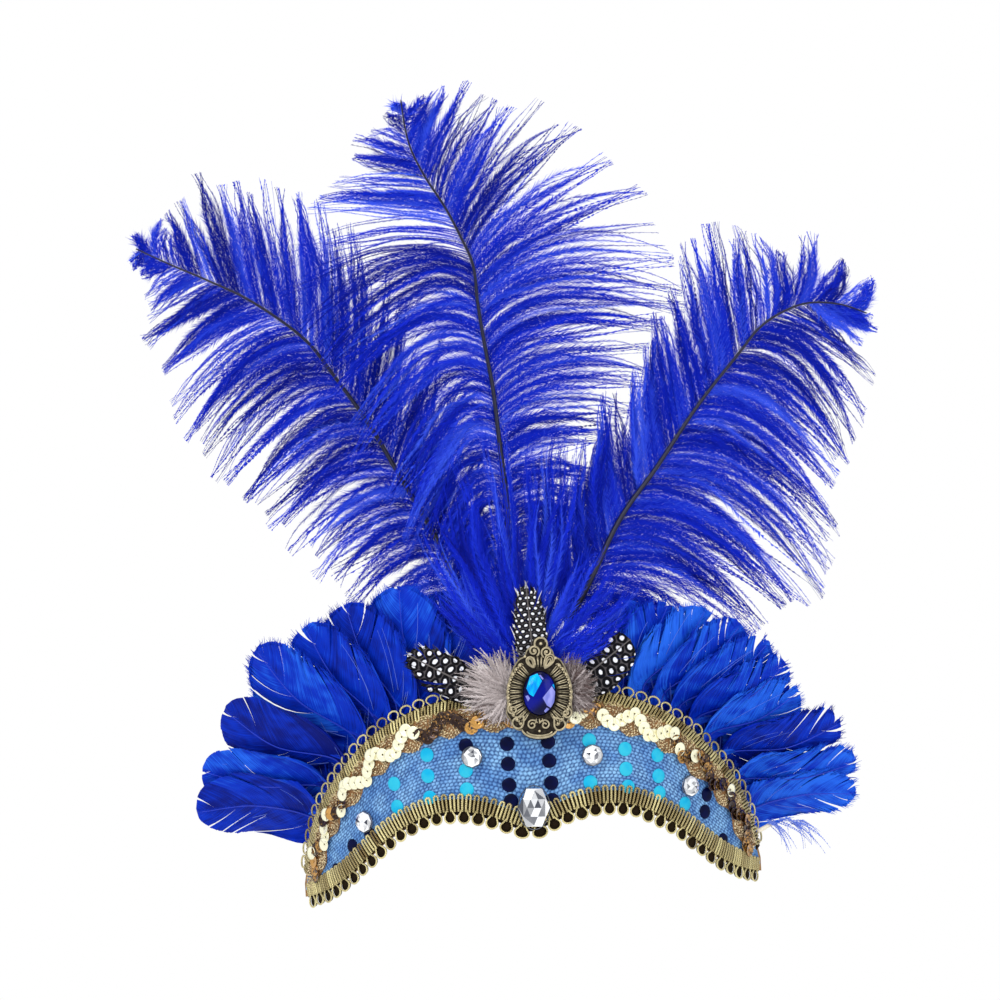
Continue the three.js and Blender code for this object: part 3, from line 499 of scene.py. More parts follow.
LOWER_EDGE = band_edge(1)
UPPER_EDGE = band_edge(2)


def edge_heights(arc):
    """Heights of the lower and the upper edge at each arc."""
    return [np.interp(arc, edge.points[:, 0], edge.points[:, 1]) for edge in (LOWER_EDGE, UPPER_EDGE)]


def beside_edge(edge, inward, distance, v, depth):
    """Places beside an edge: v runs from the edge into the band. inward is 1 for the lower edge."""
    distance, v, depth = np.broadcast_arrays(*(np.asarray(w, float) for w in (distance, v, depth)))
    point = edge.at(distance)
    along = edge.heading(distance)
    side = np.stack([-along[..., 1], along[..., 0]], axis=-1) * inward
    place = point + side * v[..., None]
    return on_band(place[..., 0], place[..., 1], depth), outward(place[..., 0])


def flat_on_band(x, z, depth, turn=0.0):
    """Places flat work on the band. Returns a function from (right, up, out) to a point."""
    arc = arc_of_x(x, depth)
    origin = on_band(arc, z, depth)
    out = outward(arc)
    across = unit(np.cross((0, 0, 1), out))
    tilt = math.radians(turn)
    right = across * math.cos(tilt) - np.array((0, 0, math.sin(tilt)))
    top = across * math.sin(tilt) + np.array((0, 0, math.cos(tilt)))

    def place(points):
        points = np.asarray(points, float)
        return origin + points[..., :1] * right + points[..., 1:2] * top + points[..., 2:3] * out
    place.out = out
    return place


# Feathers

def strand(skin, path, barbule, rng, tone, lean=28.0, thick=0.2, finish=0):
    """One strand of a soft feather: a fine cord with a barbule on both sides of every step.

    barbule holds the length of the barbules at each point of the path.
    """
    count = len(path)
    ahead = unit(np.gradient(path, axis=0))
    flat = unit(np.cross(ahead, (0, 1, 0)))
    out = np.cross(flat, ahead)
    turn = np.radians(rng.normal(0, 24) + rng.normal(0, 34) * np.linspace(-1, 1, count))[:, None]
    side = np.cos(turn) * flat + np.sin(turn) * out
    tips = []
    for sign in (1, -1):
        slant = np.radians(lean * np.linspace(1.1, 0.4, count) + rng.normal(0, 6, count))[:, None]
        reach = (barbule * rng.uniform(0.6, 1.2, count))[:, None]
        fall = out * (rng.normal(0, 0.16, count) * barbule)[:, None]
        tips.append((path + reach * (sign * np.sin(slant) * side + np.cos(slant) * ahead) + fall)[:-1])
    k = np.arange(count - 1)
    faces = np.vstack([np.stack([k, k + 1, count + k], axis=-1),
                       np.stack([k + 1, k, 2 * count - 1 + k], axis=-1)])
    tips_tone = np.clip(tone + rng.uniform(-0.06, 0.2), 0, 1)
    tones = np.concatenate([np.full(count, tone), np.full(2 * count - 2, tips_tone)])
    skin.add((np.vstack([path, *tips]), faces), tones, finish=finish)
    cord = path[::6] if (count - 1) % 6 == 0 else np.vstack([path[::6], path[-1:]])
    skin.add(tube(cord, np.linspace(thick, thick * 0.4, len(cord)), (0, 1, 0), sides=3), tone,
             finish=finish)


def bow(start, middle, end, count):
    """Points of a curve that leaves start towards middle and comes to end."""
    t = np.linspace(0, 1, count)[:, None]
    start, middle, end = np.asarray(start), np.asarray(middle), np.asarray(end)
    return (1 - t) ** 2 * start + 2 * t * (1 - t) * middle + t ** 2 * end


def plume_depth(depth, x, z):
    """How far back a plume lies: up out of the pocket, back, out to the sides and forward at the top."""
    band_x = np.clip(x, -60, 60)
    pocket = HEAD_RADIUS - np.sqrt((HEAD_RADIUS + QUILL_DEPTH) ** 2 - band_x ** 2)
    leaned = pocket + (depth - pocket) * ease(z, POCKET_TOP, PLUME_CLEAR_HEIGHT)
    sweep = SIDE_SWEEP * x ** 2 * ease(z, POCKET_TOP, POCKET_TOP + 25)
    return leaned + sweep - TIP_CURL * np.maximum(0, z - TIP_CURL_START) ** 2


def clump_numbers(count, smallest, largest, rng):
    """Sorts a row of strands into clumps that hang together."""
    sizes = rng.integers(smallest, largest + 1, count)
    return np.repeat(np.arange(count), sizes)[:count]


def plume_lines(spec, spine, tips, side, looks, rng):
    """Front-view curves of the strands of one side of a plume.

    Each line holds its root, middle and tip, its reach, how far it stands out of the plume, its shade,
    how full its barbules are, and how its end is drawn to the point of its clump.
    """
    rows = np.array(tips, float)
    share = rows[0, 0] + (0.995 - rows[0, 0]) * (np.arange(looks.strands) + 0.5) / looks.strands
    clump = clump_numbers(looks.strands, 5, 12, rng)
    total = clump[-1] + 1
    centre = np.array([share[clump == c].mean() for c in range(total)])[clump]
    spread = np.array([np.ptp(share[clump == c]) for c in range(total)])[clump] / 2 + 0.001
    drift = rng.normal(0, looks.raggedness / MM, (total, 3))[clump]
    shade = rng.normal(0, 0.17, total)[clump]
    full = np.where(rng.random(total)[clump] < 0.3 * ease(share, 0.65, 0.8), 0.4, 1.0)
    for low, high in spec["thin"] if side < 0 else []:
        full = np.where((share > low) & (share < high), 0.3, full)
    lines = []
    for i in range(looks.strands):
        distance = spine.length * share[i]
        root = spine.at(distance)
        heading = spine.heading(distance)
        aims = [share[i] + pull * (centre[i] - share[i]) + rng.normal(0, 0.004) for pull in (0.3, 0.9)]
        tip, point = (np.array([np.interp(aim, rows[:, 0], rows[:, k]) for k in (1, 2)]) for aim in aims)
        point, tip = point + drift[i, :2] * 0.7, tip + drift[i, :2] * 0.7 + rng.normal(0, 1.0, 2)
        tip = root + (tip - root) * (1.03 - 0.2 * abs(share[i] - centre[i]) / spread[i])
        if rng.random() < 0.3:
            tip = root + (tip - root) * rng.uniform(0.5, 0.9)
        turn = -side * spec["turn"] * math.radians(rng.uniform(38, 54))
        leave = np.array([math.cos(turn) * heading[0] - math.sin(turn) * heading[1],
                          math.sin(turn) * heading[0] + math.cos(turn) * heading[1]])
        reach = np.linalg.norm(tip - root)
        lines.append((root, root + leave * reach * rng.uniform(0.42, 0.56), tip, reach, drift[i, 2],
                      shade[i], full[i], point - tip))
    return lines


def ostrich_plume(name, spec, looks, materials, rng):
    """A plume: a bowed quill with strands on both sides that hang together in clumps."""
    spine = Track(spec["spine"])
    lines = plume_lines(spec, spine, spec["outer"], -1, looks, rng)
    lines += plume_lines(spec, spine, spec["inner"], 1, looks, rng)
    step = max(0.5, sum(line[3] for line in lines) * STEP_TRIANGLES / looks.triangles)
    skin = Skin()
    for root, middle, tip, reach, lift, shade, full, pull in lines:
        count = max(8, int(reach * 1.06 / step))
        t = np.linspace(0, 1, count)
        path = bow(root, middle, tip, count)
        across = unit(np.array([-(tip - root)[1], (tip - root)[0]]))
        wave = rng.uniform(0.3, 1.3) * t * np.sin(2 * math.pi * (rng.uniform(1.2, 2.8) * t + rng.random()))
        path = path + across * wave[:, None] + pull * t[:, None] ** 5
        y = (plume_depth(spec["depth"], path[:, 0], path[:, 1]) + 1.0 + lift * t ** 1.5
             + rng.normal(0, 1.0) * t)
        path = np.stack([path[:, 0], y, path[:, 1]], axis=-1)
        length = looks.barbule / MM * full * (0.6 + 0.4 * ease(t, 0, 0.2)) * (1 - 0.8 * ease(t, 0.55, 1))
        strand(skin, path, length, rng, np.clip(0.46 + shade + rng.normal(0, 0.16), 0, 1), thick=0.15)
    along = np.linspace(0, spine.length, 90)
    quill = spine.at(along)
    depth = plume_depth(spec["depth"], quill[:, 0], quill[:, 1])
    path = np.stack([quill[:, 0], depth - 0.6 * ease(along, 40, 80), quill[:, 1]], axis=-1)
    skin.add(tube(path, 1.15 * (1 - along / spine.length) + 0.28, (0, 1, 0), sides=6), 0.5, finish=1)
    return skin.piece(f"{name}_plume", materials, "ostrich_feather", [name])


def tuft_depth(z):
    """How far back the front tuft lies: it bulges out of the pocket and leans forward higher up."""
    bulge = -QUILL_DEPTH - 3.4 * ease(z, POCKET_TOP, POCKET_TOP + 12)
    return bulge - 0.0012 * np.maximum(0, z - 60) ** 2


def front_tuft(looks, materials, rng):
    """The short tuft in front of the quills, of strands that spread from its stem."""
    tips = np.array(TUFT_TIPS, float)
    skin = Skin()
    clump = clump_numbers(looks.tuft_strands, 3, 7, rng)
    total = clump[-1] + 1
    shares, lengths = rng.random(total), 1 - 0.66 * rng.random(total) ** 1.3
    bends, lifts = rng.uniform(0.25, 0.95, total), rng.uniform(-3.4, 3.2, total)
    waves, shades = rng.uniform(0, 1, (total, 2)), rng.normal(0.5, 0.17, total)
    for c in clump:
        share = shares[c]
        place = share * (len(tips) - 1)
        tip = np.array([np.interp(place, np.arange(len(tips)), part) for part in tips.T])
        root = np.array([2.6 - 4 * math.cos(math.pi * share), 34 + 14 * math.sin(math.pi * share)])
        root = root + rng.normal(0, 1.8, 2)
        tip = root + (tip - root) * lengths[c] * rng.uniform(0.86, 1.02) + rng.normal(0, 1.5, 2)
        middle = np.array([root[0] + (tip - root)[0] * bends[c],
                           root[1] + (tip - root)[1] * rng.uniform(0.4, 0.6)])
        reach = np.linalg.norm(tip - root)
        count = max(10, int(reach * 1.05 / TUFT_STEP))
        t = np.linspace(0, 1, count)
        path = bow(root, middle, tip, count)
        wave = 2.4 * waves[c, 0] * t * np.sin(2 * math.pi * (1.3 * t + waves[c, 1] + rng.normal(0, 0.03)))
        y = tuft_depth(path[:, 1]) + (lifts[c] + rng.normal(0, 0.6)) * ease(t, 0, 0.5)
        path = np.stack([path[:, 0] + wave, y, path[:, 1]], axis=-1)
        length = looks.barbule / MM * 0.85 * (0.4 + 0.6 * ease(t, 0, 0.3)) * (1 - 0.8 * ease(t, 0.5, 1))
        strand(skin, path, length, rng, np.clip(shades[c] + rng.normal(0, 0.14), 0, 1), thick=0.13)
    stem = np.array([(TUFT_STEM_X, tuft_depth(z) + 0.4, z) for z in np.linspace(8, 58, 16)])
    skin.add(tube(stem, np.linspace(1.0, 0.5, 16), (0, 1, 0)), 0.4, finish=1)
    return skin.piece("front_tuft_strands", materials, "ostrich_feather", ["front_tuft"])


def vane(skin, points, across, out, half, rng, tone, camber, locks, ragged=0.05, spread=(36, 36),
         spots=1.0, curl=0.0):
    """The flat web on both sides of a shaft, made of locks of barbs with splits between them.

    points, across and out hold the shaft and its directions, and half is the web's half width there.
    ragged is how much the locks differ in reach, and spread is the barbs' angle at the foot and higher up.
    """
    pitch, columns = 0.5, 6
    run = np.concatenate([[0], np.cumsum(np.linalg.norm(np.diff(points, axis=0), axis=1))])
    ahead = unit(np.gradient(points, axis=0))

    def look_up(values, where):
        return np.stack([np.interp(where, run, part) for part in values.T], axis=-1)

    for side in (1, -1):
        angle = np.radians(spread[0] + (spread[1] - spread[0]) * ease(run, 0, run[-1] * 0.5))
        leaves = np.maximum.accumulate(run - half / np.tan(angle))
        stops = [0.0]
        while stops[-1] < run[-1] - 0.5:
            stops.append(stops[-1] + rng.uniform(*locks))
        stops[-1] = run[-1] - 0.2
        for low, high in zip(stops, stops[1:]):
            rows = max(3, int((high - low) / pitch) + 1)
            root = np.linspace(low, high, rows)
            end = np.interp(root, leaves, run)
            middle = end.mean()
            closed = 1 - rng.uniform(0.0, 2.2 * ragged)
            end = np.clip(middle + (end - middle) * closed + rng.normal(0, 8 * ragged), 0, run[-1])
            grow = 1.02 - 2 * ragged * rng.random()
            lift = rng.normal(0, 0.5)
            shade = np.clip(tone + rng.normal(0, 0.07), 0, 1)
            inset = np.abs(np.linspace(-1, 1, rows)) ** 3
            wide = (np.interp(end, run, half) * grow * (1 - 1.2 * ragged * inset)
                    * (1 + rng.normal(0, 0.006 + 0.3 * ragged, rows)))
            start = look_up(points, root)
            tip = look_up(points, end) + look_up(across, end) * (side * wide)[:, None]
            span = np.linalg.norm(tip - start, axis=1, keepdims=True)
            slant = (np.interp(root, run, angle) + math.radians(14))[:, None]
            leave = look_up(ahead, root) * np.cos(slant) + look_up(across, root) * side * np.sin(slant)
            knee = start + leave * span * 0.5
            t = np.linspace(0, 1, columns + 1)[None, :, None]
            grid = ((1 - t) ** 2 * start[:, None] + 2 * t * (1 - t) * knee[:, None] + t ** 2 * tip[:, None])
            raise_by = (lift * t[..., 0] ** 2 - camber * t[..., 0] ** 2
                        - curl * (root / run[-1])[:, None] ** 3
                        + 0.07 * (np.arange(rows) % 2)[:, None] * np.sin(math.pi * t[..., 0]))
            grid = grid + look_up(out, root)[:, None] * raise_by[..., None]
            place = spots * np.stack(np.broadcast_arrays(
                root[:, None] + 200 * (side < 0), side * wide[:, None] * t[..., 0],
                root[:, None] + (end - root)[:, None] * t[..., 0]), axis=-1).reshape(-1, 3)
            # Each barb's tone is painted a little darker towards the shaft and lighter at its end, as shade
            # where the feathers overlap; every other barb is a little lighter and all differ at random
            shades = (shade + 0.05 * (np.arange(rows) % 2)[:, None] + 0.1 * (t[..., 0] - 0.5)
                      + rng.normal(0, 0.03, rows)[:, None])
            faces = lattice(rows, columns + 1)
            skin.add((grid, faces if side < 0 else faces[:, ::-1]), np.clip(shades, 0, 1).ravel(), place)
            if ragged > FRAYED:
                ticks(skin, grid[:, -1], grid[:, -1] - grid[:, -2], rng, shade, place[columns::columns + 1])


def ticks(skin, tips, aims, rng, tone, places):
    """Loose ends of barbs past the edge of a web."""
    for tip, aim, place in zip(tips, unit(aims), places):
        if rng.random() < 0.6:
            end = tip + aim * rng.uniform(0.8, 2.6) + rng.normal(0, 0.35, 3)
            path = np.stack([tip - aim * 1.5, tip, end])
            skin.add(tube(path, [0.2, 0.16, 0.05], (0, 1, 0.1), sides=3), tone, place)


def goose_line(angle, tip, sag):
    """The shaft of a goose feather: up out of the pocket, round a bend, and bowed out to its tip."""
    tip = np.array(tip, float)
    heights = np.array(BAND_OUTLINE, float)
    top = np.interp(abs(angle), heights[:, 0], heights[:, 2])
    arc = arc_of_angle(angle)
    leaving = on_band(arc, top, QUILL_DEPTH)
    flat = unit((tip - leaving) * (1, 0, 1))
    down = unit(flat * (0.25, 0, 1))
    root = on_band(arc - down[0] * 7, top - abs(down[2]) * 7, QUILL_DEPTH)
    bend = leaving + unit(leaving - root) * 8
    middle = (bend + tip) / 2 + np.array((-flat[2], 0, flat[0])) * sag
    return Track([root, leaving, bend, middle, tip], power=0.5)


def pale_barbs(skin, points, ahead, across, out, half, rng):
    """Pale barbs that lie loose on a web."""
    for _ in range(6):
        j = int(rng.integers(40, 84))
        aim = rng.choice((-1, 1))
        reach = half[j] * rng.uniform(0.6, 1.5)
        lie = points[j] + out[j] * 0.5 + across[j] * aim * half[j] * rng.uniform(0.05, 0.4)
        tip = lie + ahead[j] * reach + across[j] * aim * reach * 0.45
        path = bow(lie, (lie + tip) / 2 + across[j] * aim * 2.2 + out[j] * 0.5, tip, 8)
        skin.add(tube(path, np.linspace(0.13, 0.05, 8), out[j], sides=3), 0.5, finish=3)


def foot_barbs(skin, points, ahead, across, out, tone, rng):
    """Fluffy barbs at the foot of a web."""
    for _ in range(26):
        root = points[int(rng.integers(30, 52))]
        aim = rng.choice((-1, 1))
        reach = rng.uniform(7, 15)
        j = int(rng.integers(34, 48))
        end = (root + ahead[j] * reach * 0.8 + across[j] * aim * reach * 0.7
               + out[j] * rng.uniform(-1, 1))
        path = bow(root, (root + end) / 2 + across[j] * aim * 1.5, end, 16)
        strand(skin, path, np.full(16, 1.6), rng, np.clip(tone - 0.2 + rng.normal(0, 0.12), 0, 1),
               thick=0.14)


def stub_and_wisps(skin, rng):
    """A bare quill stub, and the soft wisps that hang beside it from the lowest right feather."""
    stub = np.array([(92.6, 41, -34.6), (95.6, 42, -33.3), (98.7, 43, -31.7)])
    skin.add(tube(stub, [0.9, 0.9, 0.75], (0, 1, 0), sides=8), 0.5, finish=2)
    for _ in range(26):
        root = np.array((rng.uniform(96, 110), 43, -31)) + rng.normal(0, 0.8, 3)
        end = root + (rng.uniform(2, 13), rng.uniform(-2, 2), rng.uniform(-14, -3))
        path = bow(root, (root + end) / 2 + (2, 0, 1.5), end, 18)
        strand(skin, path, np.linspace(1.3, 0.4, 18), rng, 0.5, thick=0.05, finish=3)


def goose_fan(rows, materials, rng):
    """Feathers of one side. Each lies over the next one up, like a shingle."""
    lines = [goose_line(angle, tip, sag) for _, angle, tip, _, sag in rows]
    for i, ((name, angle, _, width, _), line) in enumerate(zip(rows, lines)):
        before, after = lines[max(0, i - 1)], lines[min(len(lines) - 1, i + 1)]
        side = math.copysign(1, angle)
        share = np.linspace(0, 1, 120)
        where = line.distance_of(share)
        points, ahead = line.at(where), line.heading(where)
        span = after.at(after.distance_of(share)) - before.at(before.distance_of(share))
        front = unit(np.cross(ahead, span)) * side
        tilt = (side * np.radians(11) * ease(share, 0.0, 0.3))[:, None]
        front = front * np.cos(tilt) + np.cross(ahead, front) * np.sin(tilt)
        across = unit(np.cross(ahead, front))
        out = np.cross(across, ahead)
        part = (share - WEB_START) / (1 - WEB_START)
        half = (13 + (width - 13) * ease(part, 0.0, 0.55)) * np.sqrt(np.clip(1 - part ** 6, 0, 1)) / 2
        half = half * np.sqrt(ease(part, -0.02, 0.2)) + 0.1
        web = share >= WEB_START
        skin = Skin()
        tone = np.clip(rng.normal(0.42 if side < 0 else 0.66, 0.1), 0, 1)
        ragged = 0.012 if side < 0 and i < 3 else 0.035 if side < 0 else 0.06
        vane(skin, points[web], across[web], out[web], half[web], rng, tone, camber=1.3,
             locks=(7, 20) if side < 0 else (3, 10), ragged=ragged, spread=(56, 34), curl=2.0)
        pale_barbs(skin, points, ahead, across, out, half, rng)
        shaft = points + out * 0.35
        skin.add(tube(shaft[::3], np.linspace(0.6, 0.14, len(shaft[::3])), out[::3]), 0.3, finish=1)
        foot_barbs(skin, points, ahead, across, out, tone, rng)
        if name == "goose_right_1":
            stub_and_wisps(skin, rng)
        skin.piece(f"{name}_feather", materials, "goose_feather", [name])


def guinea_feather(name, root, on, tip, width, spots, ragged, materials, rng):
    """A spotted feather that lies on the trims, with grey fluff at its foot."""
    depth = on + SEAT_GAP + GUINEA_THICKNESS / 2
    start = on_band(arc_of_x(root[0], depth), root[1], depth)
    end = np.array(tip, float)
    share = np.linspace(0, 1, 70)
    points = bow(start, (start + end) / 2 + (0, -0.8, 0), end, 70)
    ahead = unit(np.gradient(points, axis=0))
    across = unit(np.cross(ahead, (0, -1, 0)))
    out = np.cross(across, ahead)
    half = (width * ease(share, -0.35, 0.55) * np.sqrt(np.clip(1 - share ** 5, 0, 1)) + 0.4) / 2
    skin = Skin()
    vane(skin, points, across, out, half, rng, 0.5, camber=0.8, locks=(3, 8), ragged=ragged,
         spread=(50, 36), spots=spots)
    skin.add(tube(points[::3] + out[::3] * 0.2, np.linspace(0.5, 0.2, len(points[::3])), out[::3]), 0.5,
             finish=1)
    for _ in range(60):
        j = int(rng.integers(2, 24))
        aim = rng.choice((-1, 1))
        reach = rng.uniform(4, 9)
        tip_at = points[j] + ahead[j] * reach * 0.5 + across[j] * aim * reach + out[j] * rng.uniform(0, 1)
        path = bow(points[j], (points[j] + tip_at) / 2 + ahead[j], tip_at, 14)
        strand(skin, path, np.full(14, 1.2), rng, rng.uniform(0.0, 0.7), thick=0.08, finish=2)
    return skin.piece(f"{name}_feather", materials, "guinea_feather", [name])


def down_tuft(name, root, back, locks, looks, material, shade, rng):
    """A tuft of down. locks holds the direction of its strands in degrees, and how far they reach."""
    locks = np.array(locks, float)
    origin = on_band(arc_of_x(root[0], back), root[1], back + 0.9)
    skin = Skin()
    for _ in range(looks.down_strands):
        place = rng.random() * (len(locks) - 1)
        direction = math.radians(np.interp(place, np.arange(len(locks)), locks[:, 0]) + rng.normal(0, 5))
        reach = np.interp(place, np.arange(len(locks)), locks[:, 1]) * rng.uniform(0.5, 1.08)
        aim = np.array((math.cos(direction), 0.05, math.sin(direction)))
        side = np.array((-aim[2], 0, aim[0]))
        start = origin + aim * rng.uniform(0, 4) + side * rng.normal(0, 1.6)
        end = start + aim * reach + side * rng.normal(0, 2.2) + np.array((0, rng.uniform(-1.6, 2.2), 0))
        knee = (start + end) / 2 + side * rng.normal(0, 1.6) - np.array((0, rng.uniform(0.4, 2.2), 0))
        count = max(10, int(reach / DOWN_STEP))
        t = np.linspace(0, 1, count)
        length = looks.down_barbule / MM * (0.5 + 0.5 * ease(t, 0, 0.3)) * (1 - 0.55 * ease(t, 0.6, 1))
        strand(skin, bow(start, knee, end, count), length, rng, np.clip(shade + rng.normal(0, 0.16), 0, 1),
               lean=34, thick=0.07)
    return skin.piece(f"{name}_strands", [material], "down", [name])


# The band and its trims

# The cloth: the height over which its rows are counted, how far its lower and upper edge and its ends
# lie inside the band's, and how high its weave stands
CLOTH_HEIGHT = 46
CLOTH_INSETS = (3.2, 6.0)
CLOTH_END = 1.5
WEAVE_RELIEF = 0.3


def cloth_cover(looks, material):
    """The woven cloth on the front of the band, with the relief of its weave."""
    pitch = looks.weave / MM / 4
    reach = LOWER_EDGE.points[-1, 0] - CLOTH_END
    arc = np.linspace(-reach, reach, int(2 * reach / pitch))
    low, high = edge_heights(arc)
    low, high = low + CLOTH_INSETS[0], high - CLOTH_INSETS[1]
    rows = int(CLOTH_HEIGHT / pitch)
    share = np.linspace(0, 1, rows)[:, None]
    middle = (low + high) / 2
    z = middle + (share - 0.5) * np.maximum(high - low, 1.0)
    arcs = np.broadcast_to(arc, z.shape)
    column = np.arange(len(arc))[None, :]
    row = np.arange(rows)[:, None]
    rng = np.random.default_rng(11)
    shifted = column + 2 * (row // 4 % 2) + 0.7 * np.sin(row / 2.3)
    cell = np.floor(shifted / 4).astype(int) * 7 + (row // 4) * 131
    over = np.abs(np.sin(math.pi * shifted / 4) * np.sin(math.pi * (row + 0.5) / 4)) ** 0.8
    over = over * rng.uniform(0.6, 1.1, 4096)[cell % 4096] + 0.1 * rng.random(z.shape)
    points = on_band(arcs, z, PANEL_FRONT + 0.03 + WEAVE_RELIEF * over)
    over = np.clip(over, 0, 1)
    place = np.stack([arcs, z, np.zeros_like(z)], axis=-1).reshape(-1, 3)
    skin = Skin()
    # The weave's height is also its tone, which the finish paints as highlight on the threads and shade in
    # the gaps
    skin.add((points, lattice(rows, len(arc))), over.ravel(), place)
    piece = skin.piece("band_cloth", [material], "cloth")
    cut = float(np.sum((high - low)[1:].clip(1.0) * np.diff(arc)))
    return piece


def felt_back(material):
    """The felt behind the band. It stands out below the lower edge, behind the picots."""
    arc = np.linspace(LOWER_EDGE.points[0, 0], LOWER_EDGE.points[-1, 0], 170)
    low, high = edge_heights(arc)
    hem = low + np.minimum(4.0, (high - low) / 2)

    def skirt(depth, drop):
        # The height that lies behind the trim's edge when the band is seen from the front
        inner = (HEAD_RADIUS + depth) / (HEAD_RADIUS + TRIM_FRONT) * np.sin(arc / CHART_RADIUS)
        return np.minimum(edge_heights(CHART_RADIUS * np.arcsin(inner))[0] - drop, hem - 0.3)
    section = [(0, skirt(0, 1.6)), (0.6, skirt(0.6, 1.9)), (3.4, skirt(3.4, 1.9)), (4.1, skirt(4.1, 1.5)),
               (4.1, hem), (FELT_FRONT, hem), (FELT_FRONT, high - 0.2), (0.6, high), (0, high - 0.4)]
    grid = np.stack([on_band(arc, z, depth) for depth, z in section], axis=1)
    count = len(section)
    faces = np.vstack([lattice(len(arc), count, wrap=True), fan(range(count))[:, ::-1],
                       fan(range((len(arc) - 1) * count, len(arc) * count))])
    place = np.stack([np.repeat(arc, count), grid[..., 2].ravel(), np.zeros(grid[..., 2].size)], axis=-1)
    skin = Skin()
    skin.add((grid, faces[:, ::-1]), 0.5, place)
    return skin.piece("felt_back", [material], "felt", ["felt_backing"])


def laid_cord(skin, edge, inward, distance, v, depth, radius, tone=0.5, sides=6, finish=0, loop=False):
    """A cord laid beside an edge of the band.

    Its place holds how far along it and how far round it a point is.
    """
    path, up = beside_edge(edge, inward, distance, v, depth)
    shape = tube(path, radius, up, sides=sides, loop=loop)
    run = np.concatenate([[0], np.cumsum(np.linalg.norm(np.diff(path, axis=0), axis=1))])
    place = np.stack([np.repeat(run, sides), np.tile(np.arange(sides) / sides, len(path)),
                      np.zeros(len(path) * sides)], axis=-1)
    skin.add(shape, tone, place, finish)


def gimp_braid(name, node, edge, inward, width, slant, end, looks, materials, rng):
    """Gold gimp: cords bent like hairpins side by side, with a picot loop out past the edge."""
    count = int((edge.length - 2 * end) / PICOT_PITCH)
    start = (edge.length - count * PICOT_PITCH) / 2
    radius = looks.cord / MM / 2
    half_arm = PICOT_PITCH / 8
    turn = np.linspace(0, math.pi, 7)
    middle_depth = (TRIM_BACK + TRIM_FRONT) / 2
    skin = Skin()
    # A dark strip under the cords: painted shade for the gaps between them
    run = np.linspace(start - 1, start + count * PICOT_PITCH + 1, count * 5)
    strip = [beside_edge(edge, inward, run, v, depth)[0]
             for v, depth in ((-0.6, TRIM_BACK), (-0.5, TRIM_BACK + 0.3), (width * 0.68, TRIM_BACK + 0.3),
                              (width * 0.7, TRIM_BACK))]
    faces = lattice(len(run), 4)
    skin.add((np.stack(strip, axis=1), faces if inward > 0 else faces[:, ::-1]), finish=1)
    for i in range(count * 2):
        middle = start + (i + 0.5) * PICOT_PITCH / 2
        u = np.concatenate([[-half_arm] * 4, -half_arm * np.cos(turn), [half_arm] * 4])
        tall = width * (0.72 + 0.28 * ease(min(middle, edge.length - middle), 3, 26))
        straight = np.linspace(-0.2, tall - half_arm, 5)[:4]
        v = np.concatenate([straight, tall - half_arm + half_arm * np.sin(turn), straight[::-1]])
        depth = middle_depth - 0.02 + rng.normal(0, 0.05) + 0.25 * np.sin(math.pi * v / width)
        laid_cord(skin, edge, inward, middle + u + slant * v, v, depth, radius * rng.uniform(0.94, 1.04),
                  np.clip(0.55 + rng.normal(0, 0.12), 0, 1))
    turn = np.linspace(-0.75, math.pi + 0.75, 16)
    reach = PICOT_HEIGHT * (1.32 if inward > 0 else 1.05)
    for i in range(count):
        middle = start + (i + 0.5) * PICOT_PITCH
        wide = (PICOT_WIDTH - 2 * radius) / 2 * rng.uniform(0.95, 1.06)
        tall = (reach - radius) * rng.uniform(0.94, 1.05)
        u = np.concatenate([[-wide * 0.3], -wide * np.cos(turn), [wide * 0.3]])
        v = np.concatenate([[1.2], -tall * (0.54 + 0.46 * np.sin(turn)), [1.2]])
        laid_cord(skin, edge, inward, middle + u, v, middle_depth - 0.1, radius * 0.78,
                  np.clip(0.66 + rng.normal(0, 0.1), 0, 1))
        if inward > 0:
            # The lower picots are filled dark with the strip's finish
            leaf = np.vstack([beside_edge(edge, inward, middle + u * 0.96, v * 0.96, depth)[0]
                              for depth in (TRIM_BACK - 0.5, TRIM_BACK)])
            half = len(u)
            skin.add((leaf, np.vstack([lattice(2, half, wrap=True), fan(range(half))[:, ::-1],
                                       fan(range(half, 2 * half))])), finish=1)
    return skin.piece(name, materials, "gold_braid", [node])


def chain_v(phase):
    """How far into the band the sequin chain lies. It swings to and fro once in each scallop."""
    return 9.0 + 3.2 * (np.cos(phase) + np.cos(3 * phase) / 12) / 1.083


# Wear of the sequins: up to this x, what share of them is worn, and how pale the palest of those is
SEQUIN_WEAR = [(-90, 0.2, 0.4), (-84, 0.7, 0.5), (-79, 0.2, 0.5), (-75, 0.7, 0.5), (-42, 0.0, 0.5),
               (-25, 1.0, 0.16), (-8, 1.0, 0.6), (16, 0.4, 0.5), (27, 0.8, 0.6), (58, 0.1, 0.5),
               (72, 0.6, 0.3), (120, 0.9, 0.3)]


def sequin(place, radius):
    """A cupped disc with a hole through its middle."""
    sides = 16
    turn = np.arange(sides) * 2 * math.pi / sides
    rings = [(0.13, 0.0), (0.42, 0.03), (0.78, 0.12), (1.0, 0.32), (0.99, 0.22), (0.76, 0.0), (0.42, -0.1),
             (0.13, -0.13)]
    points = np.stack([np.stack([radius * share * np.cos(turn), radius * share * np.sin(turn),
                                 np.full(sides, rise)], axis=-1) for share, rise in rings])
    faces = lattice(len(rings), sides, wrap=True)
    ends = np.concatenate([np.arange(sides), np.arange(sides) + sides * (len(rings) - 1)])
    join = np.stack([ends[sides:], np.roll(ends[sides:], -1), np.roll(ends[:sides], -1)], axis=-1)
    join = np.vstack([join, np.stack([ends[sides:], np.roll(ends[:sides], -1), ends[:sides]], axis=-1)])
    return place(points.reshape(-1, 3)), np.vstack([faces[:, ::-1], join[:, ::-1]])


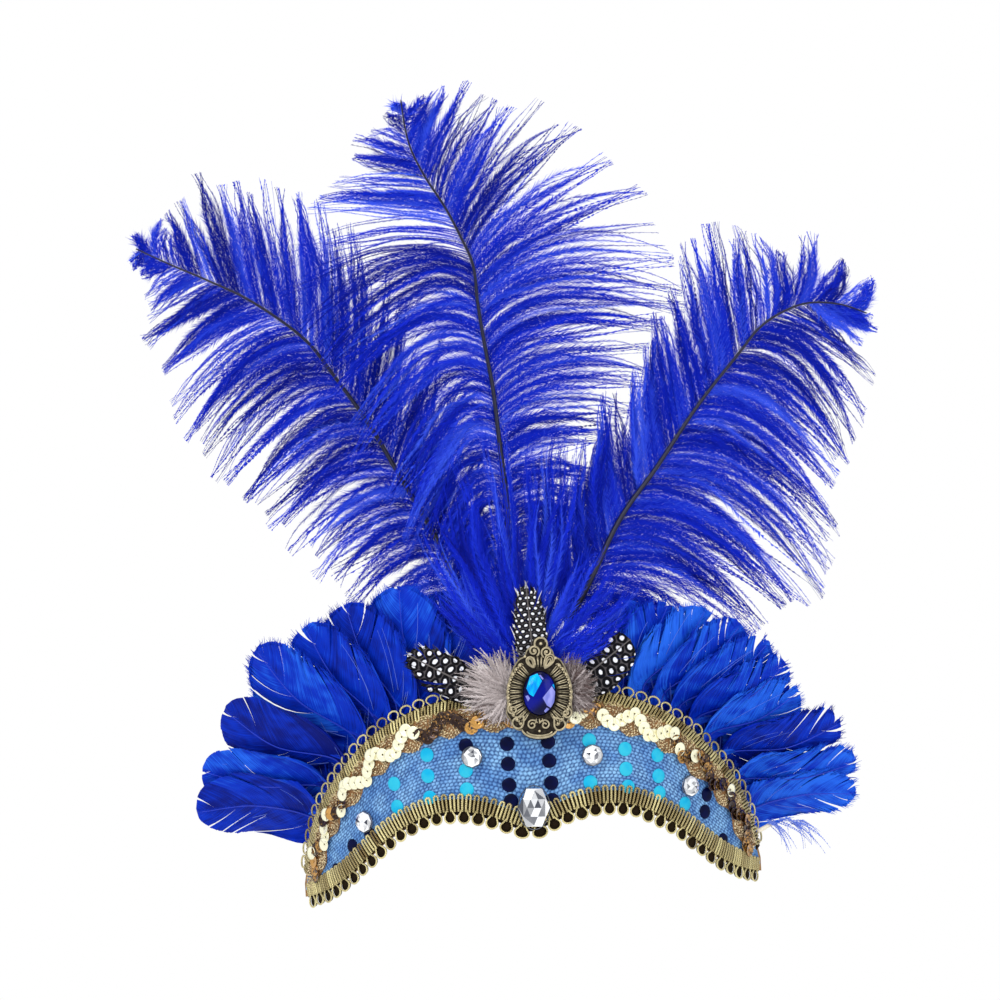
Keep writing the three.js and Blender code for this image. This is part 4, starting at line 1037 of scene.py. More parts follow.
def braid_ground(skin, edge, first, last):
    """The woven ground of the sequin braid, with a scalloped lower edge."""
    run = np.arange(first, last, 0.8)
    phase = 2 * math.pi * (run - first) / SCALLOP_PITCH
    far = BRAID_INSET + BRAID_WIDTH - 0.7 - 1.5 * np.cos(phase)
    columns = [0, 0.04, 0.2, 0.4, 0.6, 0.8, 0.96, 1.0]
    grid, places = [], []
    for k, share in enumerate(columns):
        v = BRAID_INSET + (far - BRAID_INSET) * share
        depth = TRIM_BACK if k in (0, len(columns) - 1) else TRIM_BACK + 0.55
        grid.append(beside_edge(edge, -1, run, v, depth)[0])
        places.append(np.stack([run, v, np.zeros_like(run)], axis=-1))
    faces = lattice(len(run), len(columns))
    skin.add((np.stack(grid, axis=1), faces[:, ::-1]), 0.3, np.stack(places, axis=1).reshape(-1, 3), 0)


def woven_fans(skin, edge, first, last, rng):
    """Fans of short stitches side by side, in rows round each fan's hub."""
    fans = int((last - first) / (SCALLOP_PITCH / 2))
    for i in range(fans + 1):
        middle = first + i * SCALLOP_PITCH / 2
        down, hub, rim = LOWER_FAN if i % 2 else UPPER_FAN
        for radius in np.arange(rim, 1.0, -0.95):
            stitches = max(3, int(math.pi * radius / 1.15))
            for angle in np.radians(np.linspace(-94, 94, stitches)):
                a = angle + rng.normal(0, 0.05) + np.array([-0.42, 0, 0.42]) / radius
                r = radius + np.array([0.25, 0, -0.25]) + rng.normal(0, 0.08)
                laid_cord(skin, edge, -1, middle + r * np.sin(a), hub + down * r * np.cos(a),
                          TRIM_BACK + np.array([0.6, 1.0, 0.6]), 0.34, rng.uniform(0.35, 1.0), sides=4,
                          finish=1)


def sequin_chain(skin, edge, first, last, looks, rng):
    """The sequins, each overlapping the next on a chain that waves over the braid."""
    fine = np.linspace(first + 1.5, last - 1.5, 4000)
    v = chain_v(2 * math.pi * (fine - first) / SCALLOP_PITCH)
    path, up = beside_edge(edge, -1, fine, v, TRIM_FRONT)
    chain = np.concatenate([[0], np.cumsum(np.linalg.norm(np.diff(path, axis=0), axis=1))])
    spacing = looks.sequin_pitch / MM
    for i, distance in enumerate(np.arange(0, chain[-1], spacing)):
        j = int(np.searchsorted(chain, distance))
        j = min(max(j, 3), len(path) - 4)
        ahead = unit(path[j + 3] - path[j - 3])
        out = up[j]
        side = np.cross(out, ahead)
        tilt = math.radians(rng.normal(6, 2))
        lean = math.radians(rng.normal(0, 3))
        out_now = unit(out * math.cos(tilt) + ahead * math.sin(tilt) + side * math.sin(lean))
        ahead_now = unit(ahead - out_now * np.dot(ahead, out_now))
        side_now = np.cross(out_now, ahead_now)
        origin = path[j] + out * (0.12 * (i % 2) + 0.15) + rng.normal(0, 0.12, 3)

        def place(points, origin=origin, a=ahead_now, s=side_now, o=out_now):
            return origin + points[:, :1] * a + points[:, 1:2] * s + points[:, 2:] * o
        x = path[j][0]
        share, worn = next((row[1:] for row in SEQUIN_WEAR if x < row[0]))
        tone = rng.uniform(0.0, worn) if rng.random() < share else rng.uniform(0.9, 1.0)
        skin.add(sequin(place, looks.sequin / MM / 2), tone, finish=2)


def sequin_band(looks, materials, rng):
    """The scalloped braid with its woven fans, and the chain of sequins that waves over it."""
    edge = UPPER_EDGE
    first, last = BRAID_END, edge.length - BRAID_END
    skin = Skin()
    braid_ground(skin, edge, first, last)
    woven_fans(skin, edge, first, last, rng)
    sequin_chain(skin, edge, first, last, looks, rng)
    return skin.piece("sequin_band", materials, "sequin_braid", ["sequin_braid"])


def foil_dots(name, places, looks, material):
    """Foil discs glued to the cloth, a little domed."""
    sides = 20
    turn = np.arange(sides) * 2 * math.pi / sides
    radius = looks.dot / MM / 2
    skin = Skin()
    for x, z in places:
        place = flat_on_band(x, z, DOT_BACK)
        rings = [(1.0, 0.0), (1.0, 0.28), (0.9, 0.4), (0.5, 0.5), (0.08, 0.52)]
        points = np.vstack([np.stack([radius * share * np.cos(turn), radius * share * np.sin(turn),
                                      np.full(sides, rise)], axis=-1) for share, rise in rings])
        faces = np.vstack([lattice(len(rings), sides, wrap=True), fan(range(sides))[:, ::-1],
                           fan(range((len(rings) - 1) * sides, len(rings) * sides))])
        flat = np.column_stack([points[:, :2], np.full(len(points), x)])
        skin.add((place(points), faces), 0.5, flat)
    return skin.piece(name, [material], "sapphire")


# Stones and brooch

def cut_stone(skin, place, width, height, crown, pavilion, sides, bright, rng):
    """A cut stone: rows of facets, each with its own tone, which the finish paints as reflected light,
    white glints among grey. The lower bright is, the more are dark.
    """
    rings = [(0.12, 0.0, 0.0), (0.62, pavilion * 0.55, 0.5), (1.0, pavilion, 0.0),
             (1.0, pavilion + 0.25, 0.0), (0.8, pavilion + crown * 0.62, 0.5),
             (0.46, pavilion + crown, 0.0)]
    points = []
    for share, rise, twist in rings:
        turn = (np.arange(sides) + twist) * 2 * math.pi / sides
        points.append(np.stack([width / 2 * share * np.cos(turn), height / 2 * share * np.sin(turn),
                                np.full(sides, rise)], axis=-1))
    points = np.vstack([*points, [(0, 0, pavilion + crown * 1.12)]])
    last = 5 * sides
    around = np.arange(sides)
    table = np.stack([last + around, last + (around + 1) % sides, np.full(sides, 6 * sides)], axis=-1)
    faces = np.vstack([lattice(len(rings), sides, wrap=True), table, fan(range(sides))[:, ::-1]])
    placed = place(points)
    for face in faces:
        # Each facet's tone is painted light: white as a glint or grey as a dark reflection
        tone = 1 - rng.random() ** bright
        skin.add((placed[face], [(0, 1, 2)]), tone, points[face])


def crystals(materials, rng):
    """The four round stones and the oval one, each in its cup."""
    turn = np.linspace(0, 2 * math.pi, 40, endpoint=False)
    # node, place, depth, roll, width and height, crown, pavilion, sides and how bright its facets are
    # painted, as glints
    rows = [(node, at, ROUND_STONE_BACK, 0.0, (ROUND_STONE_WIDTH,) * 2, 1.9, 1.7, 8, 2.0)
            for node, at in ROUND_STONES.items()]
    rows.append(("drop_stone", DROP_STONE, OVAL_STONE_BACK, BROOCH_TURN, OVAL_STONE, 2.6, 2.4, 6, 0.8))
    for node, at, depth, roll, (width, height), crown, pavilion, sides, bright in rows:
        skin = Skin()
        place = flat_on_band(*at, depth, roll)
        cut_stone(skin, place, width, height, crown, pavilion, sides, bright, rng)
        cup = place(np.stack([width / 2 * np.cos(turn), height / 2 * np.sin(turn),
                              np.full(40, pavilion * 0.75)], axis=-1))
        skin.add(tube(cup, 0.22, place.out, loop=True), finish=1)
        skin.piece(f"{node}_cut", materials, "crystal", [node], smooth=False)


def curl(x, y, radius, start, turns, inner=0.2, count=26):
    """A scroll that winds in from the start angle, in degrees. Negative turns wind clockwise."""
    t = np.linspace(0, 1, count)
    angle = math.radians(start) + 2 * math.pi * turns * t
    r = radius * (1 - (1 - inner) * t ** 0.9)
    return np.stack([x + r * np.cos(angle), y + r * np.sin(angle)], axis=-1)


def petal(x, y, length, width, angle, count=22):
    """A drop-shaped loop with its point at x, y and its round end in the direction of the angle."""
    t = np.linspace(0, 2 * math.pi, count, endpoint=False)
    along = length * (1 - np.cos(t)) / 2
    wide = width / 2 * np.sin(t) * np.sin(t / 2) * 1.3
    a = math.radians(angle)
    return np.stack([x + along * math.cos(a) - wide * math.sin(a),
                     y + along * math.sin(a) + wide * math.cos(a)], axis=-1)


def oval(wide, tall, count=48, low=0.0, high=360.0, y=0.0):
    """Points of an oval, or of its stretch from the low angle to the high one."""
    turn = np.radians(np.linspace(low, high, count, endpoint=high - low < 360))
    return np.stack([wide * np.cos(turn), y + tall * np.sin(turn)], axis=-1)


# One half of the brooch's rim, from its top to its foot
BROOCH_OUTLINE = [
    (0, 22.2), (2.4, 21.6), (3.2, 19.2), (5.2, 17.2), (6.0, 15.0), (8.4, 13.6), (10.2, 10.8), (11.6, 7.6),
    (12.8, 3.6), (13.2, -0.6), (13.0, -4.8), (13.3, -8.4), (11.6, -11.0), (10.2, -14.0), (8.0, -15.0),
    (6.8, -14.6), (6.6, -16.4), (4.0, -18.0), (0, -18.6),
]


def brooch_plate(skin, place):
    """The plate of the brooch, painted dark as the shade seen through its pierced work, raised a little
    along its rim.
    """
    rim = BROOCH_OUTLINE + [(-x, y) for x, y in BROOCH_OUTLINE[-2:0:-1]]
    rim = np.array(rim[::-1], float)
    count = len(rim)
    points = np.vstack([np.column_stack([rim * scale, np.full(count, rise)])
                        for scale, rise in ((0.985, 0.0), (1.0, 0.3), (0.97, 0.75), (0.86, 0.45),
                                            (0.62, 0.4))])
    lower, upper = np.array([[0, 0, 0.0]]), np.array([[0, 0, 0.4]])
    points = np.vstack([points, lower, upper])
    around = np.arange(count)
    after = (around + 1) % count
    under = np.stack([np.full(count, 5 * count), after, around], axis=-1)
    over = np.stack([np.full(count, 5 * count + 1), 4 * count + around, 4 * count + after], axis=-1)
    # Its low tone paints the plate dark, as shade in the piercings
    skin.add((place(points), np.vstack([lattice(5, count, wrap=True), under, over])), 0.14)


def brooch(materials, rng):
    """The brooch: raised wires, ribs and beads round its stone, on a closed plate that looks pierced."""
    place = flat_on_band(*BROOCH_MIDDLE, BROOCH_BACK, BROOCH_TURN)
    skin = Skin()
    brooch_plate(skin, place)

    def wire(path, radius, rise, loop=False, tone=0.66, sides=7):
        rise = np.broadcast_to(rise, len(path))
        path = place(np.column_stack([path, rise]))
        skin.add(tube(path, radius, place.out, sides=sides, loop=loop), tone)

    def bead(x, y, radius, rise=0.9, tone=0.9):
        skin.add(ball(place(np.array([(x, y, rise)]))[0], radius), tone)

    # The collar of the stone, and ribs with a bead and a small arch at their ends
    wire(oval(6.8, 9.1, 56), 0.3, 1.5, loop=True, tone=0.1, sides=8)
    for side in (-1, 1):
        for k, angle in enumerate(np.linspace(-54, 52, 12)):
            a = math.radians(angle)
            inner = np.array((side * 6.9 * math.cos(a), 9.2 * math.sin(a)))
            outer = np.array((side * 12.2 * math.cos(a), 14.2 * math.sin(a) - 0.3))
            way = unit(outer - inner)
            wide = np.array((-way[1], way[0])) * 0.36
            for edge in (-1, 1):
                wire(np.array([inner + wide * edge * 0.5, (inner + outer) / 2 + wide * edge,
                               outer - way * 0.5 + wide * edge * 1.3]), [0.2, 0.24, 0.26],
                     [1.0, 1.25, 1.0], tone=rng.uniform(0.4, 0.8))
            tip = outer + way * 0.2
            bead(tip[0], tip[1], 0.62 if k % 2 else 0.5)
            arc = np.radians(np.linspace(-100, 100, 9)) + math.atan2(way[1], way[0])
            wire(np.stack([outer[0] - way[0] * 0.2 + 1.05 * np.cos(arc),
                           outer[1] - way[1] * 0.2 + 1.05 * np.sin(arc)], axis=-1), 0.24, 0.85, tone=0.65)
    # Short ribs above and below the stone
    for x in (-1.9, -0.65, 0.65, 1.9):
        path = np.array([(x * 0.8, 10.4), (x, 12.4), (x * 1.25, 14.4)])
        wire(path, [0.28, 0.42, 0.3], [1.0, 1.35, 1.0])
    for x in (-1.4, 0, 1.4):
        wire(np.array([(x * 0.8, -10.0), (x, -11.0), (x * 1.2, -12.0)]), 0.3, 1.05)
    # The crest: petals and scrolls, then its beads and those at the sides and the foot
    wire(petal(-2.3, 10.2, 4.6, 2.9, 118), 0.4, 1.15, loop=True)
    wire(petal(-2.5, 10.5, 3.6, 1.5, 118), 0.4, 1.3, loop=True, tone=0.6)
    wire(petal(2.1, 9.9, 6.2, 3.6, 62), 0.34, 1.1, loop=True)
    wire(petal(2.3, 10.2, 5.0, 2.2, 62), 0.3, 1.2, loop=True)
    wire(petal(2.5, 10.5, 3.6, 1.0, 62), 0.26, 1.25, loop=True)
    wire(curl(-2.3, 16.8, 2.4, -60, 1.5), 0.4, 1.15)
    wire(curl(2.9, 16.3, 2.4, -120, -1.5), 0.4, 1.15)
    bead(-2.2, 16.8, 0.6)
    bead(2.8, 16.4, 0.6)
    wire(curl(0.5, 19.6, 2.5, -30, 0.69, inner=0.99, count=18), 0.42, 1.1)
    for x, y, size in ((0.5, 19.7, 0.7), (-1.6, 21.0, 0.5), (2.5, 20.8, 0.5), (0.5, 22.0, 0.5),
                       (-5.8, 14.6, 0.6), (6.4, 14.0, 0.6), (0, -15.0, 0.55), (-9.2, -3.2, 0.4),
                       (8.8, -8.0, 0.45), (-6.8, -9.2, 0.45), (5.6, -9.4, 0.5)):
        bead(x, y, size)
    # The lower half: two petals, four scrolls and three bows
    wire(petal(-6.4, -9.0, 5.6, 4.4, 232), 0.42, 1.1, loop=True)
    wire(petal(6.0, -9.6, 5.6, 4.4, 305), 0.42, 1.1, loop=True)
    wire(curl(-10.6, -6.4, 2.3, 100, 1.4), 0.38, 1.1)
    wire(curl(10.8, -8.0, 2.3, 80, -1.4), 0.38, 1.1)
    wire(curl(-2.9, -12.5, 2.2, 20, 1.4), 0.38, 1.1)
    wire(curl(2.2, -12.5, 2.2, 160, -1.4), 0.38, 1.1)
    for wide, tall, y in ((6.6, 2.9, -14.6), (5.1, 1.9, -14.9), (6.9, 3.6, -14.2)):
        wire(oval(wide, tall, 22, 188, 352, y=y), 0.36, 1.0)
    # A wire along both sides of the rim
    for side in (-1, 1):
        outline = [(side * x, y) for x, y in BROOCH_OUTLINE[2:16]]
        path = Track(outline, power=0.5)
        wire(path.at(np.linspace(0, path.length, 60)) * 0.975, 0.3, 0.75, tone=0.5)
    skin.piece("brooch_metal", materials, "bronze", ["brooch_frame"])


def brooch_stone(materials):
    """The oval blue stone, a low dome. Its facets are painted highlights in its finish."""
    place = flat_on_band(*BROOCH_MIDDLE, BROOCH_BACK + BROOCH_PLATE - 0.9, BROOCH_TURN)
    sides = 40
    turn = np.arange(sides) * 2 * math.pi / sides
    points = []
    for share in (0.9, 1.0, 0.96, 0.88, 0.76, 0.6, 0.4, 0.2, 0.06):
        rise = 1.2 + 2.6 * math.sqrt(1 - share ** 2) if len(points) else 0.0
        wide, tall = BLUE_STONE[0] * share, BLUE_STONE[1] * share
        points.append(np.stack([wide * np.cos(turn), tall * np.sin(turn), np.full(sides, rise)], axis=-1))
    rows = len(points)
    faces = np.vstack([lattice(rows, sides, wrap=True), fan(range(sides))[:, ::-1],
                       fan(range((rows - 1) * sides, rows * sides))])
    points = np.vstack(points)
    skin = Skin()
    skin.add((place(points), faces), 0.5, points)
    return skin.piece("brooch_stone_cut", materials, "sapphire", ["brooch_stone"])


# Finishes

def ostrich_finishes(looks):
    """The dye of the plumes and the tuft, and that of their quills."""
    f = Finish("dyed ostrich strands")
    tone = f.attribute("tone")
    low = f.mixed(tone.ramp(0.0, 0.55), looks.ostrich_deep, looks.ostrich)
    colour = f.mixed(tone.ramp(0.5, 1.0), low, looks.ostrich_light)
    strands = f.surface(Base_Color=colour, Roughness=0.6, Specular_IOR_Level=0.12)
    quill = Finish("dyed quill")
    stem = quill.surface(Base_Color=looks.quill, Roughness=0.4)
    return [strands, stem]


def goose_finishes(looks):
    """The goose web, its shaft, a bare quill stub and pale loose barbs."""
    f = Finish("dyed goose web")
    tone = f.attribute("tone")
    root, across, along = f.parts(f.attribute("place", "Vector"))
    streak = f.noise(f.joined(root * 1.6, across * 0.12, 0.0), 1.0, 3.0)
    patch = f.noise(f.joined(along * 0.12, across * 0.2, 0.0), 1.0, 1.0)
    light = (tone * 0.7 + streak * 0.5 + patch * 0.4 - 0.45).ramp(0.02, 0.78)
    low = f.mixed(light.ramp(0.0, 0.5), looks.goose_deep, looks.goose)
    colour = f.mixed(light.ramp(0.5, 1.0), low, looks.goose_light)
    lines = (root * (2 * math.pi / 0.9)).sine()
    bump = f.bump(lines, 0.08, 0.6)
    web = f.surface(Base_Color=colour, Roughness=0.55 - 0.1 * streak, Specular_IOR_Level=0.1, Normal=bump)
    shaft = Finish("dyed goose shaft").surface(Base_Color=looks.goose, Roughness=0.45)
    stub = Finish("bare quill stub").surface(Base_Color=rgb(232, 222, 200), Roughness=0.4)
    wisp = Finish("pale goose barbs").surface(Base_Color=looks.goose_pale, Roughness=0.6)
    return [web, shaft, stub, wisp]


def nearest_dot(across, along, pitch, row, shift):
    """How far a place is from the nearest dot of a net of dots in rows.

    pitch is their distance in a row and row that between two rows. A dot is wider than it is long.
    """
    u = (across / pitch + shift).fraction() - 0.5
    v = (along / row + shift).fraction() - 0.5
    u, v = u * pitch * 0.9, v * row * 1.05
    return (u * u + v * v) ** 0.5


def guinea_finishes(looks):
    """The guinea web: white spots on black with a grey net between them, its shaft and its fluff."""
    f = Finish("spotted guinea web")
    tone = f.attribute("tone")
    root, across, along = f.parts(f.attribute("place", "Vector"))
    pitch = looks.guinea_spot_pitch / MM
    row = pitch * 1.732
    first = nearest_dot(across, along, pitch, row, 0.0)
    second = nearest_dot(across, along, pitch, row, 0.5)
    away = first.maths("MINIMUM", first, second)
    ragged = away + (f.noise(f.joined(root * 1.5, across, along), 1.0, 2.0) - 0.5) * 0.4
    net = ragged.ramp(pitch * 0.42, pitch * 0.52)
    ground = f.mixed(net, looks.guinea, looks.guinea_net)
    wide = 0.13 + 0.11 * along.ramp(6.0, 34.0)
    colour = f.mixed((wide - ragged / pitch).ramp(0.0, 0.05), ground, rgb(232, 232, 238))
    lines = (root * (2 * math.pi / 0.8)).sine()
    web = f.surface(Base_Color=colour, Roughness=0.7 - 0.1 * tone, Specular_IOR_Level=0.1,
                    Normal=f.bump(lines, 0.05, 0.5))
    shaft = Finish("guinea shaft").surface(Base_Color=rgb(90, 84, 82), Roughness=0.5)
    fluff = Finish("guinea fluff")
    grey = fluff.mixed(fluff.attribute("tone"), rgb(44, 42, 46), rgb(128, 122, 122))
    return [web, shaft, fluff.surface(Base_Color=grey, Roughness=0.8)]


def down_finish(looks):
    f = Finish("down")
    colour = f.mixed(f.attribute("tone").ramp(0.1, 0.9), looks.down_deep, looks.down_light)
    return f.surface(Base_Color=colour, Roughness=0.85, Specular_IOR_Level=0.1)


def cloth_finish(looks):
    """The cloth: paler in broad worn patches, with a painted highlight on its raised threads and painted
    shade in the gaps between them.
    """
    f = Finish("woven cloth")
    over = f.attribute("tone")
    arc, height = f.parts(f.attribute("place", "Vector"))[:2]
    broad = f.noise(f.joined(arc, height), 0.09, 2.0)
    fine = f.noise(f.joined(arc, height), 1.3, 3.0)
    # Painted highlight on the raised threads and painted shade in the gaps, by the weave's height, with a
    # fine random mottle
    light = (over * 0.95 + fine * 0.5 - 0.2).ramp(0.05, 0.85)
    worn = f.mixed(broad.ramp(0.35, 0.7), looks.cloth, looks.cloth_light)
    colour = f.mixed(light, looks.cloth_gap_shade, worn)
    return f.surface(Base_Color=colour, Roughness=0.85, Specular_IOR_Level=0.2,
                     Normal=f.bump(fine, 0.12, 0.6))


def panel_finish(looks):
    """The edge of the panel is painted a mottled brown in the colours of the braid, partly as painted shade
    where the trims overhang it.
    """
    f = Finish("brown edge with painted shade")
    weave = f.noise(f.node("ShaderNodeTexCoord", output=3), 900.0, 2.0)
    return f.surface(Base_Color=f.mixed(weave, looks.gold_deep, looks.braid), Roughness=0.9)


def felt_finish():
    f = Finish("black felt")
    fibre = f.noise(f.attribute("place", "Vector"), 1.6, 4.0)
    colour = f.mixed(fibre, rgb(14, 12, 14), rgb(44, 34, 34))
    return f.surface(Base_Color=colour, Roughness=0.95, Specular_IOR_Level=0.1,
                     Normal=f.bump(fibre, 0.2, 0.6))


def cord_finish(name, deep, light, metal, twist=0.75):
    """A wrapped cord: its winding runs round it as a fine thread, in the bump and as a painted highlight on
    each turn with painted shade between the turns.
    """
    f = Finish(name)
    run, around = f.parts(f.attribute("place", "Vector"))[:2]
    winding = ((run / twist + around) * (2 * math.pi)).sine()
    tone = f.attribute("tone")
    # Tone differs at random from cord to cord; the winding adds painted highlight on each turn and painted
    # shade between the turns
    share = (tone * 1.1 + winding * 0.14 - 0.12).ramp(0.0, 1.0)
    return f.surface(Base_Color=f.mixed(share, deep, light), Metallic=metal, Roughness=0.36 + 0.1 * winding,
                     Normal=f.bump(winding, 0.1, 0.7))


def gimp_finishes(looks):
    """The gimp's cord, and a dark brown strip under it as painted shade for the gaps between its cords,
    which also fills the lower picots dark.
    """
    gap_shade_and_picot_fill = Finish("gimp gap shade and picot fill").surface(Base_Color=rgb(34, 24, 12), Roughness=0.9, Specular_IOR_Level=0.1)
    return [cord_finish("gold cord", looks.gold_deep, looks.gold, 0.55), gap_shade_and_picot_fill]


def sequin_finishes(looks):
    """The braid's ground and its threads, with painted shade in the gaps between the threads, and the cup
    sequins: gold where they are worn, and with gold specks painted on the dark ones as glints.
    """
    f = Finish("braid ground")
    along, v = f.parts(f.attribute("place", "Vector"))[:2]
    # The ground's threads are lighter and the gaps between them painted darker as shade, with a random
    # mottle
    threads = ((along * 5.0).sine() * (v * 5.0).sine()) * 0.5 + 0.5
    mottle = f.noise(f.joined(along, v), 0.8, 3.0)
    ground = f.surface(Base_Color=f.mixed(threads * 0.5 + mottle * 0.5, looks.braid_dark_and_gap_shade, looks.braid),
                       Roughness=0.6, Metallic=0.05, Normal=f.bump(threads, 0.2, 0.8))
    thread = cord_finish("braid thread", looks.braid_dark_and_gap_shade, looks.braid_light, 0.1, twist=0.6)
    s = Finish("cup sequins")
    tone = s.attribute("tone")
    # Gold specks painted on the dark sequins as glints
    painted_glint = s.noise(s.node("ShaderNodeTexCoord", output=3), 1100.0, 2.0)
    worn = s.mixed((tone + painted_glint - 0.5).ramp(0.1, 0.42), looks.sequin_dark, looks.sequin_gold_and_glint)
    base = s.mixed(tone.ramp(0.5, 0.85), worn, looks.sequin_light)
    disc = s.surface(Base_Color=base, Metallic=0.75 - 0.55 * tone, Roughness=0.2, Coat_Weight=0.4,
                     Coat_Roughness=0.08)
    return [ground, thread, disc]


def foil_finish(name, colour, deep):
    """A foil with a soft sheen that differs from dot to dot."""
    f = Finish(name)
    u, v, number = f.parts(f.attribute("place", "Vector"))
    sheen = f.noise(f.joined(u * 0.25, v * 0.25, number), 1.0, 1.0)
    return f.surface(Base_Color=f.mixed(sheen.ramp(0.3, 0.7), deep, colour), Roughness=0.35,
                     Specular_IOR_Level=0.08)


def crystal_finishes():
    """Foiled clear glass: facets painted white as glints among grey ones painted as dark reflections."""
    f = Finish("clear glass with painted glints")
    share = f.attribute("tone").ramp(0.0, 0.9)
    glass = f.surface(Base_Color=f.mixed(share, rgb(52, 56, 70), rgb(255, 255, 255)), Metallic=0.35,
                      Roughness=0.06, Coat_Weight=0.6, Coat_Roughness=0.0)
    cup = Finish("steel setting").surface(Base_Color=rgb(104, 108, 118), Metallic=0.9, Roughness=0.3)
    return [glass, cup]


# Facets of the blue stone, painted as highlights where they catch the light: a tint, and corners to the
# right of and above its middle
STONE_FACETS = [
    ("light", [(-5.4, 2.0), (-4.3, -0.2), (-2.6, -1.3), (0.9, 5.0), (-0.9, 8.0), (-3.9, 6.8)]),
    ("lilac", [(1.0, -1.7), (2.8, -4.8), (4.4, -5.8), (5.9, -3.4), (6.2, 0.6), (4.8, 3.0)]),
    ("lilac", [(1.6, -7.0), (2.3, -7.7), (3.9, -6.2), (2.7, -5.5)]),
    ("light", [(4.9, 3.4), (6.0, 1.6), (5.8, 3.9)]),
    ("lilac", [(-5.8, -1.0), (-4.7, -3.3), (-3.9, -1.9), (-4.7, -0.6)]),
    ("lilac", [(-0.5, 7.2), (1.0, 5.4), (1.6, 5.8), (0.3, 7.5)]),
]


def within(right, top, corners):
    """1 inside a convex outline whose corners are given anticlockwise, and 0 outside it."""
    least = 9.0
    for (x, y), (next_x, next_y) in zip(corners, corners[1:] + corners[:1]):
        length = math.hypot(next_x - x, next_y - y)
        away = (top - y) * ((next_x - x) / length) - (right - x) * ((next_y - y) / length)
        least = away.maths("MINIMUM", away, least)
    return least.ramp(0.0, 0.12)


def sapphire_finish(looks):
    """Foiled blue glass: deep blue with painted shade on its sides, and painted cyan and lilac highlights
    where its facets catch the light.
    """
    f = Finish("blue cut glass")
    right, top = f.parts(f.attribute("place", "Vector"))[:2]
    # A lighter band across the stone, with painted shade on the sides away from it
    band = (top - right * 0.9).size().ramp(6.5, 1.0)
    colour = f.mixed(band, looks.sapphire_side_shade, looks.sapphire)
    drift = f.noise(f.joined(right * 0.5, top * 0.2), 1.0, 1.0).ramp(0.35, 0.7)
    # Painted highlights of the facets, cyan and lilac, varied at random
    tints = {"light": f.mixed(drift, looks.sapphire_highlight, rgb(0, 132, 226)),
             "lilac": f.mixed(drift, looks.sapphire_lilac_highlight, rgb(118, 124, 205))}
    for tint, corners in STONE_FACETS:
        colour = f.mixed(within(right, top, corners), colour, tints[tint])
    return f.surface(Base_Color=colour, Roughness=0.1, Specular_IOR_Level=0.15)


def bronze_finish(looks):
    """Old bronze: dark in its recesses and on its plate, where the dark is painted shade for the piercings,
    and worn bright on the wires.
    """
    f = Finish("antique bronze")
    tone = f.attribute("tone")
    place = f.node("ShaderNodeTexCoord", output=3)
    wear = f.noise(place, 700.0, 3.0)
    share = (tone + (wear - 0.5) * 0.5).ramp(0.1, 0.95)
    return f.surface(Base_Color=f.mixed(share, looks.bronze_recess_and_shade, looks.bronze_light), Metallic=0.7,
                     Roughness=0.45 - 0.12 * tone, Normal=f.bump(wear, 0.06, 0.5))


# The stage, in metres, and its room light. The camera's sensor is in millimetres.
FLOOR_SIDE = 3.0
FLOOR_HEIGHT = -0.3
LAMP_AIM = (0, 0, 0.1)
PICTURE_MIDDLE = (-0.00468, 0.10645)
SENSOR_WIDTH = 36
ROOM_LIGHT = (0.93, 0.96, 1.0, 1.0)
ROOM_STRENGTH = 0.75


# Settings

def colour(name, description, default):
    return bpy.props.FloatVectorProperty(name=name, description=description, subtype="COLOR", size=4,
                                         min=0, max=1, default=default)


def length(name, description, default):
    return bpy.props.FloatProperty(name=name, description=description, subtype="DISTANCE", unit="LENGTH",
                                   min=0, precision=5, default=default)


def number(name, description, default):
    return bpy.props.IntProperty(name=name, description=description, min=1, default=default)


class HeaddressFeathers(bpy.types.PropertyGroup):
    strands: number("Strands a side", "Strands on each side of an ostrich plume", 330)
    triangles: number("Plume triangles", "About how many triangles one plume takes", 166000)
    tuft_strands: number("Tuft strands", "Strands of the tuft in front of the quills", 300)
    down_strands: number("Down strands", "Strands of each down tuft", 300)
    barbule: length("Barbule", "Longest barbules of the plumes", 0.0052)
    raggedness: length("Raggedness", "How far the clumps of a plume stray", 0.0044)
    down_barbule: length("Down barbule", "Longest barbules of the down", 0.0019)
    guinea_spot_pitch: length("Spot pitch", "Distance between the white spots", 0.0050)
    ostrich: colour("Ostrich", "Dye of the plumes", rgb(6, 38, 208))
    ostrich_deep: colour("Ostrich, deep", "Dye of the darkest strands", rgb(0, 12, 132))
    ostrich_light: colour("Ostrich, light", "Dye of the palest strands", rgb(62, 96, 242))
    quill: colour("Quill", "Dye of the quills", rgb(2, 2, 40))
    goose: colour("Goose", "Dye of the goose feathers", rgb(0, 46, 186))
    goose_deep: colour("Goose, deep", "Darkest dye of the goose feathers", rgb(0, 18, 118))
    goose_light: colour("Goose, light", "Palest dye of the goose feathers", rgb(34, 104, 232))
    goose_pale: colour("Goose, loose barbs", "Pale barbs that lie loose on the webs", rgb(96, 122, 216))
    guinea: colour("Guinea", "Ground of the guinea feathers", rgb(5, 4, 10))
    guinea_net: colour("Guinea net", "Lines between the spots", rgb(74, 70, 72))
    down_deep: colour("Down, deep", "Darkest strands of the down", rgb(88, 72, 70))
    down_light: colour("Down, light", "Palest strands of the down", rgb(214, 202, 200))


